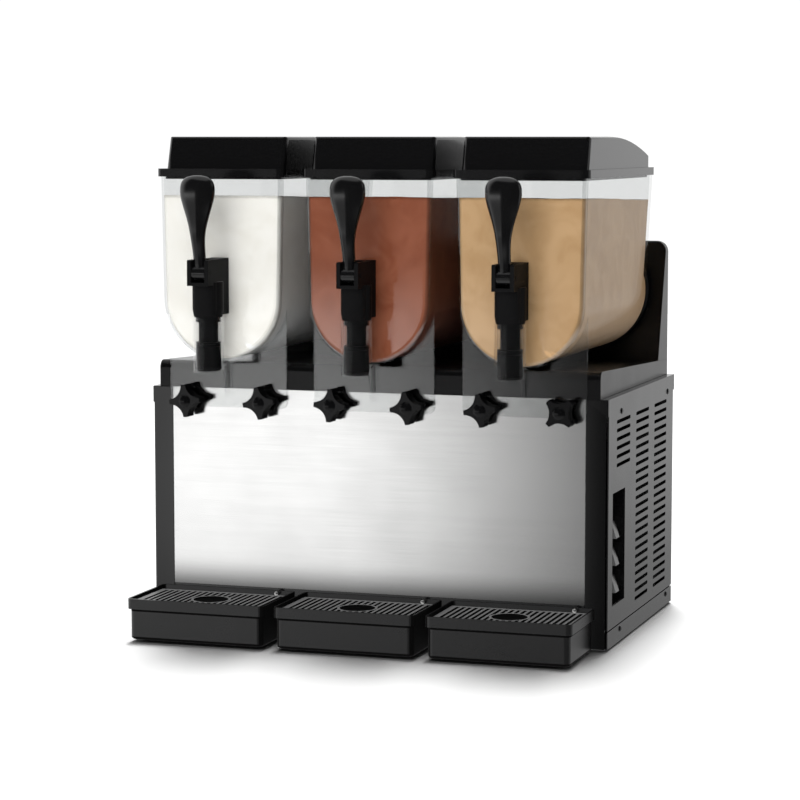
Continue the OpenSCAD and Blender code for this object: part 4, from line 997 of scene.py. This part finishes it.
@dataclass
class BowlStation(Station):
    """A clear bowl with its lid and the drink in it."""

    flavour: Flavour
    wall: float = 3.0
    inset: float = 0.2
    inner_r: float = 77.0
    flare: float = 3.0
    rim_h: float = 152.0
    length: float = 329.0
    lean: float = 22.0
    edge_r: float = 6.0
    tube_r: float = 19.0
    boss_r: float = 22.0
    skirt_z: float = 576.0
    level: float = 555.0
    fall: float = 9.0
    hollow_r: float = 75.2
    hollow_front: float = 13.5
    collar_end: float = 343.0

    def build(self) -> Object:
        """Builds and dresses the bowl, the lid and the drink.

        Returns:
            The drink's piece.
        """
        self.bowl()
        self.lid()
        return self.drink()

    def lid(self) -> None:
        """The lid, with a short skirt round the bowl's rim."""
        node = f"lid_{self.number}"
        low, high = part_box(node)
        past = 10 * MM
        below = block([c - past for c in low], (high.x + past, high.y + past, self.skirt_z * MM))
        mesh = worked(solid(node), [(Work.CUT, below)])
        stand_in(node, smooth(rounded(merged(mesh), 0.7)))

    def bowl(self) -> None:
        """The clear bowl, whose cut edges and front fillet catch more light than its walls and are tinted
        darker, a painted shade.
        """
        node = f"bowl_{self.number}"
        mesh = smooth(softened(node, 0.5), 28.0)
        for face in mesh.polygons:
            near = BOWL_Y - 1.0 < face.center.y / MM < BOWL_Y + self.edge_r + self.wall
            if near and 0.2 < -face.normal.y < 0.93 and abs(face.center.x / MM - self.x) > self.boss_r:
                face.material_index = 1
            off_axis = math.hypot(face.center.x / MM - self.x, face.center.y / MM - TAP_Y)
            if off_axis < self.tube_r + 0.5 and abs(face.normal.z) < 0.5:
                face.material_index = 2
        stand_in(node, mesh, extra=[CLEAR_EDGE, CLEAR_TUBE])

    def ripple(self, x: float, y: float) -> float:
        """Height of the drink's surface over its level.

        Args:
            x: Place across from the bowl's middle.
            y: Place along the bowl.

        Returns:
            The height in millimetres.
        """
        phase = 1.7 * self.number
        return (0.9 * math.sin(0.043 * x + 0.021 * y + phase)
                + 0.7 * math.sin(0.071 * y - 0.035 * x + 2 * phase)
                + 0.4 * math.sin(0.15 * x + 0.11 * y))

    def half_outline(self, draw_in: float) -> list[tuple[float, float]]:
        """Right half of the drink's outline.

        Args:
            draw_in: How far the outline is drawn in from the wall.

        Returns:
            Places across and heights, from the level down to the bottom.
        """
        r = self.inner_r - self.inset - draw_in
        rise = self.level - AXIS_Z
        shares = [1 - k / 6 for k in range(6)]
        side = [(r + self.flare * rise / self.rim_h * share, AXIS_Z + rise * share) for share in shares]
        turns = [math.pi / 2 * k / 36 for k in range(37)]
        return side + [(r * math.cos(turn), AXIS_Z - r * math.sin(turn)) for turn in turns]

    def drink(self) -> Object:
        """The drink, drawn in from the bowl's wall, with a hollow for the scraper's sweep.

        Returns:
            The drink's piece.
        """
        shape = bmesh.new()
        front = self.wall + self.inset
        back = self.length - self.wall - self.inset
        edge = self.edge_r - self.inset
        steps = [(front + edge * (1 - math.cos(a)), edge * (1 - math.sin(a)))
                 for a in (math.pi / 2 * k / 7 for k in range(7))]
        steps += [(front + edge + (back - front - edge) * k / 30, 0.0) for k in range(31)]
        rings = [self.ring(shape, y, draw_in) for y, draw_in in steps]
        skin(shape, rings, capped=False)
        sides = len(self.half_outline(0.0))
        for ring in (rings[0], rings[-1]):
            self.cap(shape, ring, sides)
        mesh = from_bmesh(shape, "drink")
        axis = (self.x, AXIS_Z)
        end = BOWL_Y + self.collar_end
        collar = along_y(self.inner_r - 1.3 * self.inset, *axis, BOWL_Y + back - 20.0, end)
        hollow = along_y(self.hollow_r, *axis, BOWL_Y + self.hollow_front, end + 20.0)
        mesh = smooth(worked(mesh, [(Work.JOIN, collar), (Work.CUT, hollow)]), 40.0)
        first, second = self.flavour.value
        finish = Slush(f"slush_{self.flavour.name.lower()}", first, 0.34, second, self.x, self.level)
        return settle(f"drink_{self.number}", mesh, finish, f"bowl_unit_{self.number}")

    def ring(self, shape: BMesh, y: float, draw_in: float) -> Ring:
        """Adds one cross-section of the drink.

        Args:
            shape: The bmesh to add to.
            y: Distance from the bowl's front at the axis.
            draw_in: How far the outline is drawn in.

        Returns:
            The section's vertices: right side down, left side up, then the surface from left to right.
        """
        half = self.half_outline(draw_in)
        outline = half + [(-x, z) for x, z in reversed(half[:-1])]
        top = half[0][0]
        outline += [(-top + 2 * top * k / 20, self.level) for k in range(1, 20)]
        verts = []
        for x, z in outline:
            rise = max(0.0, z - AXIS_Z)
            deep = BOWL_Y + y * (1 + self.lean / self.length * rise / self.rim_h)
            if z == self.level:
                z += 0.5 * self.ripple(x, deep) - self.fall * y / self.length
            verts.append(shape.verts.new(((self.x + x) * MM, deep * MM, z * MM)))
        return verts

    @staticmethod
    def cap(shape: BMesh, ring: Ring, sides: int) -> None:
        """Closes a cross-section with strips between its two sides and one face along its surface.

        Args:
            shape: The bmesh to add to.
            ring: The cross-section's vertices, as ring() orders them.
            sides: Number of vertices on each side.
        """
        right, left = ring[:sides], ring[sides - 1:2 * sides - 1][::-1]
        for k in range(sides - 2):
            shape.faces.new((right[k], right[k + 1], left[k + 1], left[k]))
        shape.faces.new((right[-2], right[-1], left[-2]))
        shape.faces.new([right[0], left[0], *ring[2 * sides - 1:]])


@dataclass
class TapStation(Station):
    """A tap: housing, lever with its handle, piston and spring."""

    pin_y: float = FRONT_Y - 92.0
    pin_z: float = 462.0
    handle_h: float = 120.0
    handle_w: float = 45.0
    handle_t: float = 27.0
    handle_reach: float = 7.0
    reach_speed: float = 2.5
    crown: float = 0.83
    crown_power: float = 2.6
    taper: float = 1.85
    neck_z: float = 4.5
    neck_w: float = 8.0
    neck_t: float = 6.75
    stump: float = 11.0
    rings: int = 72
    ring_power: float = 1.7
    sides: int = 56
    wire_d: float = 1.6
    spring_turns: int = 6
    travel: float = 17.0

    def build(self) -> None:
        """Builds and dresses the tap's pieces."""
        carry(f"tap_housing_{self.number}", 0.6, TAP_BLACK, extra=[FINISHES["black_gloss"]])
        carry(f"tap_piston_{self.number}", 0.3, TAP_BLACK, extra=[FINISHES["black_gloss"]])
        self.lever()
        self.spring()

    @staticmethod
    def ease(t: float) -> float:
        """Smooth step from 0 to 1."""
        return t * t * (3 - 2 * t)

    def pear(self, t: float, neck: float, full: float) -> float:
        """Half width of the handle.

        Args:
            t: Place from the neck, 0, to the top, 1.
            neck: Half width at the neck.
            full: Half width at the widest place.

        Returns:
            The half width there.
        """
        if t < self.crown:
            return neck + (full - neck) * self.ease((t / self.crown) ** self.taper)
        over = ((t - self.crown) / (1 - self.crown)) ** self.crown_power
        return full * max(0.02, 1 - over) ** (1 / self.crown_power)

    def lever(self) -> None:
        """The lever with its hub and fork, and a smooth pear-shaped handle over it."""
        node = f"tap_lever_{self.number}"
        shape = bmesh.new()
        shape.from_mesh(softened(node, 0.5))
        top = (0.0, 0.0, (self.pin_z + self.stump) * MM)
        over = bmesh.ops.bisect_plane(shape, geom=[*shape.verts, *shape.edges, *shape.faces], dist=1e-7,
                                      plane_co=top, plane_no=(0.0, 0.0, 1.0), clear_outer=True)
        rim = [e for e in over["geom_cut"] if isinstance(e, bmesh.types.BMEdge)]
        bmesh.ops.holes_fill(shape, edges=rim, sides=0)
        rings = []
        for k in range(self.rings):
            t = 1 - (1 - k / (self.rings - 1)) ** self.ring_power
            middle = self.pin_y - self.handle_reach * self.ease(min(1.0, self.reach_speed * t))
            wide = self.pear(t, self.neck_w, self.handle_w / 2)
            thick = self.pear(t, self.neck_t, self.handle_t / 2)
            z = self.pin_z + self.neck_z + (self.handle_h - self.neck_z) * t
            turns = [2 * math.pi * s / self.sides for s in range(self.sides)]
            points = [(self.x + wide * math.cos(a), middle + thick * math.sin(a), z) for a in turns]
            rings.append([shape.verts.new([c * MM for c in point]) for point in points])
        skin(shape, rings)
        made = bpy.data.meshes.new(node)
        shape.to_mesh(made)
        shape.free()
        stand_in(node, smooth(made, 40.0), kind="handle")

    def spring(self) -> None:
        """The closing spring: a wire along a spiral, as long as its CAD node."""
        node = f"tap_spring_{self.number}"
        low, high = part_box(node)
        radius = (high.x - low.x) / 2 - self.wire_d / 2 * MM
        rise = high.z - low.z - self.wire_d * MM
        tree = GeometryTree(f"tap_spring_wire_{self.number}", {
            "Radius": radius, "Rise": rise, "Wire": self.wire_d / 2 * MM, "Turns": float(self.spring_turns)})
        path = tree.wire("GeometryNodeCurveSpiral", None, {
            "Resolution": 40, "Rotations": tree.size("Turns"), "Start Radius": tree.size("Radius"),
            "End Radius": tree.size("Radius"), "Height": tree.size("Rise")})
        ring = tree.wire("GeometryNodeCurvePrimitiveCircle", None, {
            "Resolution": 12, "Radius": tree.size("Wire")})
        coil = tree.wire("GeometryNodeCurveToMesh", None, {
            "Curve": path, "Profile Curve": ring, "Fill Caps": True})
        placed = tree.wire("GeometryNodeTransform", None, {
            "Geometry": coil, "Translation": (self.x * MM, TAP_Y * MM, low.z + self.wire_d / 2 * MM)})
        mesh = smooth(tree.mesh(placed, FINISHES[SLOT_OF[node]]), 50.0)
        piece = stand_in(node, mesh, kind="coil")
        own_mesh(piece)


@dataclass
class FreezeStation(Station):
    """A helical scraper with its drive shaft."""

    def build(self) -> None:
        """Builds and dresses the scraper and its shaft."""
        carry(f"auger_{self.number}", 0.5, angle=40.0)
        carry(f"drive_shaft_{self.number}", 0.4)


@dataclass
class TrayStation(Station):
    """A drip tray with its slotted grid."""

    band_h: float = 13.0
    step: float = 3.0
    corner: float = 7.0
    base_r: float = 4.0
    foot_h: float = 2.5
    shade_h: float = 3.0

    def build(self) -> None:
        """Builds and dresses the tray and the grid."""
        self.tray()
        self.grid()

    def levels(self, low: float, high: float) -> list[tuple[float, float]]:
        """Heights of the tray's outlines.

        Args:
            low: Height of the tray's foot.
            high: Height of its top.

        Returns:
            Heights, each with how far the outline is drawn in there.
        """
        base = low + self.foot_h
        r = self.base_r
        turns = [math.pi / 2 * k / 6 for k in range(7)]
        curve = [(base + r * (1 - math.cos(a)), self.step + r * (1 - math.sin(a))) for a in turns]
        band = high - self.band_h
        neck = [(band - self.shade_h, self.step), (band, self.step), (band, 0.1)]
        return [(low - 1.0, curve[0][1]), *curve, *neck, (high + 1.0, 0.1)]

    def shaded(self, face: bpy.types.MeshPolygon, low: Vector, high: Vector) -> bool:
        """Whether a face lies where no light reaches.

        Args:
            face: A face of the tray's mesh.
            low: The tray's lowest corner in millimetres.
            high: Its highest corner in millimetres.

        Returns:
            True under the tray, under its band and between two trays.
        """
        z = face.center.z / MM
        band = high.z - self.band_h
        under = z < low.z + self.foot_h + self.base_r and face.normal.z < -0.12
        seam = band - self.shade_h < z < band + 0.3 and abs(face.normal.z) < 0.9
        between = (face.normal.x > 0.4 and self.number < 3) or (face.normal.x < -0.4 and self.number > 1)
        return under or seam or between

    def tray(self) -> None:
        """The drip tray, with round corners, a band round its top and a round lower edge."""
        node = f"drip_tray_{self.number}"
        low, high = (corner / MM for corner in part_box(node))
        shape = bmesh.new()
        rings = []
        for z, drawn_in in self.levels(low.z, high.z):
            ring = []
            for k, (sx, sy) in enumerate(((1, 1), (-1, 1), (-1, -1), (1, -1))):
                x = (high.x if sx > 0 else low.x) - sx * (drawn_in + self.corner)
                y = (high.y if sy > 0 else low.y) - sy * (drawn_in + self.corner)
                for a in (math.pi / 2 * (k + s / 8) for s in range(9)):
                    where = (x + self.corner * math.cos(a), y + self.corner * math.sin(a), z)
                    ring.append(shape.verts.new([v * MM for v in where]))
            rings.append(ring)
        skin(shape, rings)
        outline = from_bmesh(shape, "tray_outline")
        mesh = smooth(rounded(worked(solid(node), [(Work.KEEP, outline)]), 0.5, 50.0))
        # Painted shade: faces under the tray, under its band and between two trays get the near-black unlit
        # finish.
        for face in mesh.polygons:
            face.material_index = int(self.shaded(face, low, high))
        stand_in(node, mesh, extra=[SHADE_BLACK]).visible_glossy = False

    def grid(self) -> None:
        """The slotted grid, whose bar tops keep the lighter grey finish as a painted highlight, while the
        slots and the round dish are painted shade.
        """
        node = f"drip_grid_{self.number}"
        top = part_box(node)[1].z
        mesh = smooth(softened(node, 0.4))
        for face in mesh.polygons:
            # Painted shade on slot walls, lower faces and the dish; the bar tops keep the grey, a painted
            # highlight.
            face.material_index = int(face.normal.z < 0.4 or face.center.z < top - 0.6 * MM)
        stand_in(node, mesh, extra=[SHADE_BLACK]).visible_glossy = False


@dataclass
class KnobPair(Station):
    """The two star knobs that clamp a bowl's flange."""

    def build(self) -> None:
        """Builds and dresses both knobs."""
        for knob in (2 * self.number - 1, 2 * self.number):
            carry(f"knob_{knob}", 0.9, KNOB_BLACK)


@dataclass(frozen=True)
class Surroundings:
    """Glow round the part, by turn from the front to the right and by rise, both in degrees."""

    dark: float = 0.05
    card_right: Span = (-20.6, -12.8)
    card_top: Span = (-4.8, -2.5)
    card_foot: Span = (-11.4, -8.9)
    card_glow: float = 2.07
    card_edge: float = 0.86
    card_base: float = 0.22
    bulge: tuple[Span, Span] = ((-24.0, -21.5), (-18.5, -14.5))
    bulge_glow: float = 0.22
    left_wall: Span = (-85.0, -55.0)
    left_glow: float = 1.05
    right_wall: Span = (60.0, 90.0)
    right_glow: float = 0.06
    box_turns: tuple[Span, Span] = ((98.0, 106.0), (122.0, 130.0))
    box_rises: tuple[Span, Span] = ((-24.0, -14.0), (24.0, 36.0))
    box_glow: float = 0.7
    rear_wall: Span = (135.0, 152.0)
    rear_glow: float = 0.32
    rear_steps: tuple[tuple[Span, float], ...] = (((-10.5, -6.5), 0.36), ((-4.0, 0.0), 0.14))
    table: Span = (-36.0, -24.0)
    table_glow: float = 0.8
    ceiling: Span = (48.0, 66.0)
    ceiling_glow: float = 0.9

    @staticmethod
    def window(angle: Wire, ends: tuple[Span, Span]) -> Wire:
        """Share from 0 to 1 of a stretch of angles with two soft ends."""
        return angle.between(*ends[0]) * (1.0 - angle.between(*ends[1]))

    @staticmethod
    def lay(share: Wire, glow: Term, under: Wire) -> Wire:
        """Lays one glow over another by a share from 0 to 1."""
        return under + share * (glow - under)

    def glow(self, turn: Wire, rise: Wire) -> Wire:
        """Brightness of the surroundings in a direction.

        Args:
            turn: Angle from the front to the right.
            rise: Angle over the horizon.

        Returns:
            The brightness's wire.
        """
        base = self.card_base + (1.0 - self.card_base) * rise.between(*self.card_foot)
        card = base * (1.0 - rise.between(*self.card_top)) * (1.0 - turn.between(*self.card_right))
        front = self.dark + self.card_glow * card * (
            self.card_edge + self.bulge_glow * self.window(turn, self.bulge))
        rear = self.rear_glow
        for span, more in self.rear_steps:
            rear = rear + more * rise.between(*span)
        box = self.window(turn, self.box_turns) * self.window(rise, self.box_rises)
        right = self.right_glow + self.box_glow * box + turn.between(*self.rear_wall) * rear
        around = self.lay(1.0 - turn.between(*self.left_wall), self.left_glow, front)
        around = self.lay(turn.between(*self.right_wall), right, around)
        around = self.lay(1.0 - rise.between(*self.table), self.table_glow, around)
        return self.lay(rise.between(*self.ceiling), self.ceiling_glow, around)


@dataclass
class Studio:
    """Camera, floor and soft light."""

    camera_at: Point = (1.04621, -3.19489, 0.62777)
    yaw: float = 18.29
    pitch: float = 5.75
    lens: float = 117.27
    floor_r: float = 6.0
    floor_tone: float = 0.40
    fill_at: Point = (0.15, -3.4, 1.25)
    fill_size: float = 2.4
    fill_power: float = 141.0
    fill_aim: Point = (0.0, 0.0, 0.38)
    kick_at: Point = (0.6, 0.1, 0.1)
    kick_aim: Point = (0.27, 0.1, 0.42)
    kick_size: float = 0.3
    kick_power: float = 0.36
    sun_rises: tuple[float, ...] = (66.0, 71.0, 75.5, 80.0)
    sun_turn: float = 14.0
    sun_width: float = 14.0
    sun_power: float = 2.2

    def build(self, drinks: Sequence[Object]) -> None:
        """Builds the camera, the floor and the light.

        Args:
            drinks: The pieces that the kicker from the right lights.
        """
        view = bpy.context.scene.view_settings
        view.view_transform = "Standard"
        view.look = "None"
        self.camera()
        floor = self.floor()
        fill = self.soft("front_fill", self.fill_at, self.fill_aim, self.fill_size, self.fill_power)
        self.link(fill, [floor], Reach.ALL_BUT)
        kick = self.soft("right_kick", self.kick_at, self.kick_aim, self.kick_size, self.kick_power)
        self.link(kick, drinks, Reach.ONLY)
        for rise in self.sun_rises:
            self.link(self.sun(rise), [floor], Reach.ONLY)
        self.sky()

    def camera(self) -> None:
        """The camera at the photograph's angle."""
        data = bpy.data.cameras.new("studio_camera")
        data.lens = self.lens
        data.sensor_width = 36.0
        data.sensor_fit = "HORIZONTAL"
        data.clip_end = 60.0
        camera = added("studio_camera", data)
        camera.location = self.camera_at
        camera.rotation_euler = (math.radians(90.0 - self.pitch), 0.0, math.radians(self.yaw))
        bpy.context.scene.camera = camera

    def floor(self) -> Object:
        """A plain pale floor, kept out of mirror images.

        Returns:
            The floor's object.
        """
        shape = bmesh.new()
        bmesh.ops.create_circle(shape, cap_ends=True, segments=96, radius=self.floor_r)
        mesh = from_bmesh(shape, "studio_floor")
        finish = Paper("pale_floor", (self.floor_tone,) * 3, 0.9)
        mesh.materials.append(finish.material())
        floor = added("studio_floor", mesh)
        floor.visible_glossy = False
        return floor

    @staticmethod
    def light(kind: str, name: str, power: float) -> Object:
        """Adds a light that neither the camera nor a mirror image shows.

        Args:
            kind: Blender's type of light.
            name: The light's name.
            power: Its power.

        Returns:
            The light's object.
        """
        data = bpy.data.lights.new(name, kind)
        data.energy = power
        made = added(name, data)
        made.visible_camera = False
        made.visible_glossy = False
        return made

    def soft(self, name: str, place: Point, aim: Point, size: float, power: float) -> Object:
        """A large square light.

        Args:
            name: The light's name.
            place: Where it stands, in metres.
            aim: The point that it faces.
            size: Its side in metres.
            power: Its power in watts.

        Returns:
            The light's object.
        """
        made = self.light("AREA", name, power)
        made.data.size = size
        made.location = place
        made.rotation_euler = (Vector(aim) - made.location).to_track_quat("-Z", "Y").to_euler()
        return made

    def sun(self, rise: float) -> Object:
        """One of the broad suns behind the machine, which shade the floor in front of it.

        Args:
            rise: Its angle over the horizon, in degrees.

        Returns:
            The light's object.
        """
        made = self.light("SUN", f"floor_sun_{rise:.0f}", self.sun_power)
        made.data.angle = math.radians(self.sun_width)
        made.rotation_euler = (math.radians(rise - 90.0), 0.0, math.radians(self.sun_turn))
        return made

    @staticmethod
    def link(light: Object, pieces: Sequence[Object], reach: Reach) -> None:
        """Lets a light reach only some pieces, or everything but them.

        Args:
            light: The light.
            pieces: The pieces that it reaches or leaves out.
            reach: Whether it reaches only them or everything else.
        """
        receivers = bpy.data.collections.new(f"{light.name}_receivers")
        for piece in pieces:
            receivers.objects.link(piece)
        light.light_linking.receiver_collection = receivers
        for member in receivers.collection_objects:
            member.light_linking.link_state = reach.value

    def sky(self) -> None:
        """Surroundings as seen from the part, with a card in front, three walls, a table and a ceiling."""
        world = bpy.data.worlds.new("studio_surroundings")
        world.use_nodes = True
        world.node_tree.nodes.clear()
        maker = NodeMaker(world.node_tree)
        coords = maker.wire("ShaderNodeTexCoord", None, None, "Generated")
        parts = maker.node("ShaderNodeSeparateXYZ", None, {0: coords})
        x, y, z = (Wire(maker, parts.outputs[k]) for k in range(3))
        degrees = 180.0 / math.pi
        turn = x.math("ARCTAN2", x, y * -1.0) * degrees
        rise = z.math("ARCSINE", z) * degrees
        background = {"Color": (1.0, 1.0, 1.0, 1.0), "Strength": Surroundings().glow(turn, rise)}
        surroundings = maker.wire("ShaderNodeBackground", None, background)
        maker.node("ShaderNodeOutputWorld", None, {"Surface": surroundings})
        bpy.context.scene.world = world


def main() -> None:
    """Builds every sub-assembly in order, then the studio."""
    logging.basicConfig(level=logging.INFO, format="%(name)s: %(message)s")
    Cabinet().build()
    CoolingPlant().build()
    drinks = []
    for number, flavour in enumerate(Flavour, 1):
        drinks.append(BowlStation(number, flavour).build())
        TapStation(number).build()
        FreezeStation(number).build()
        TrayStation(number).build()
        KnobPair(number).build()
    Studio().build(drinks)


if __name__ == "__main__":
    main()
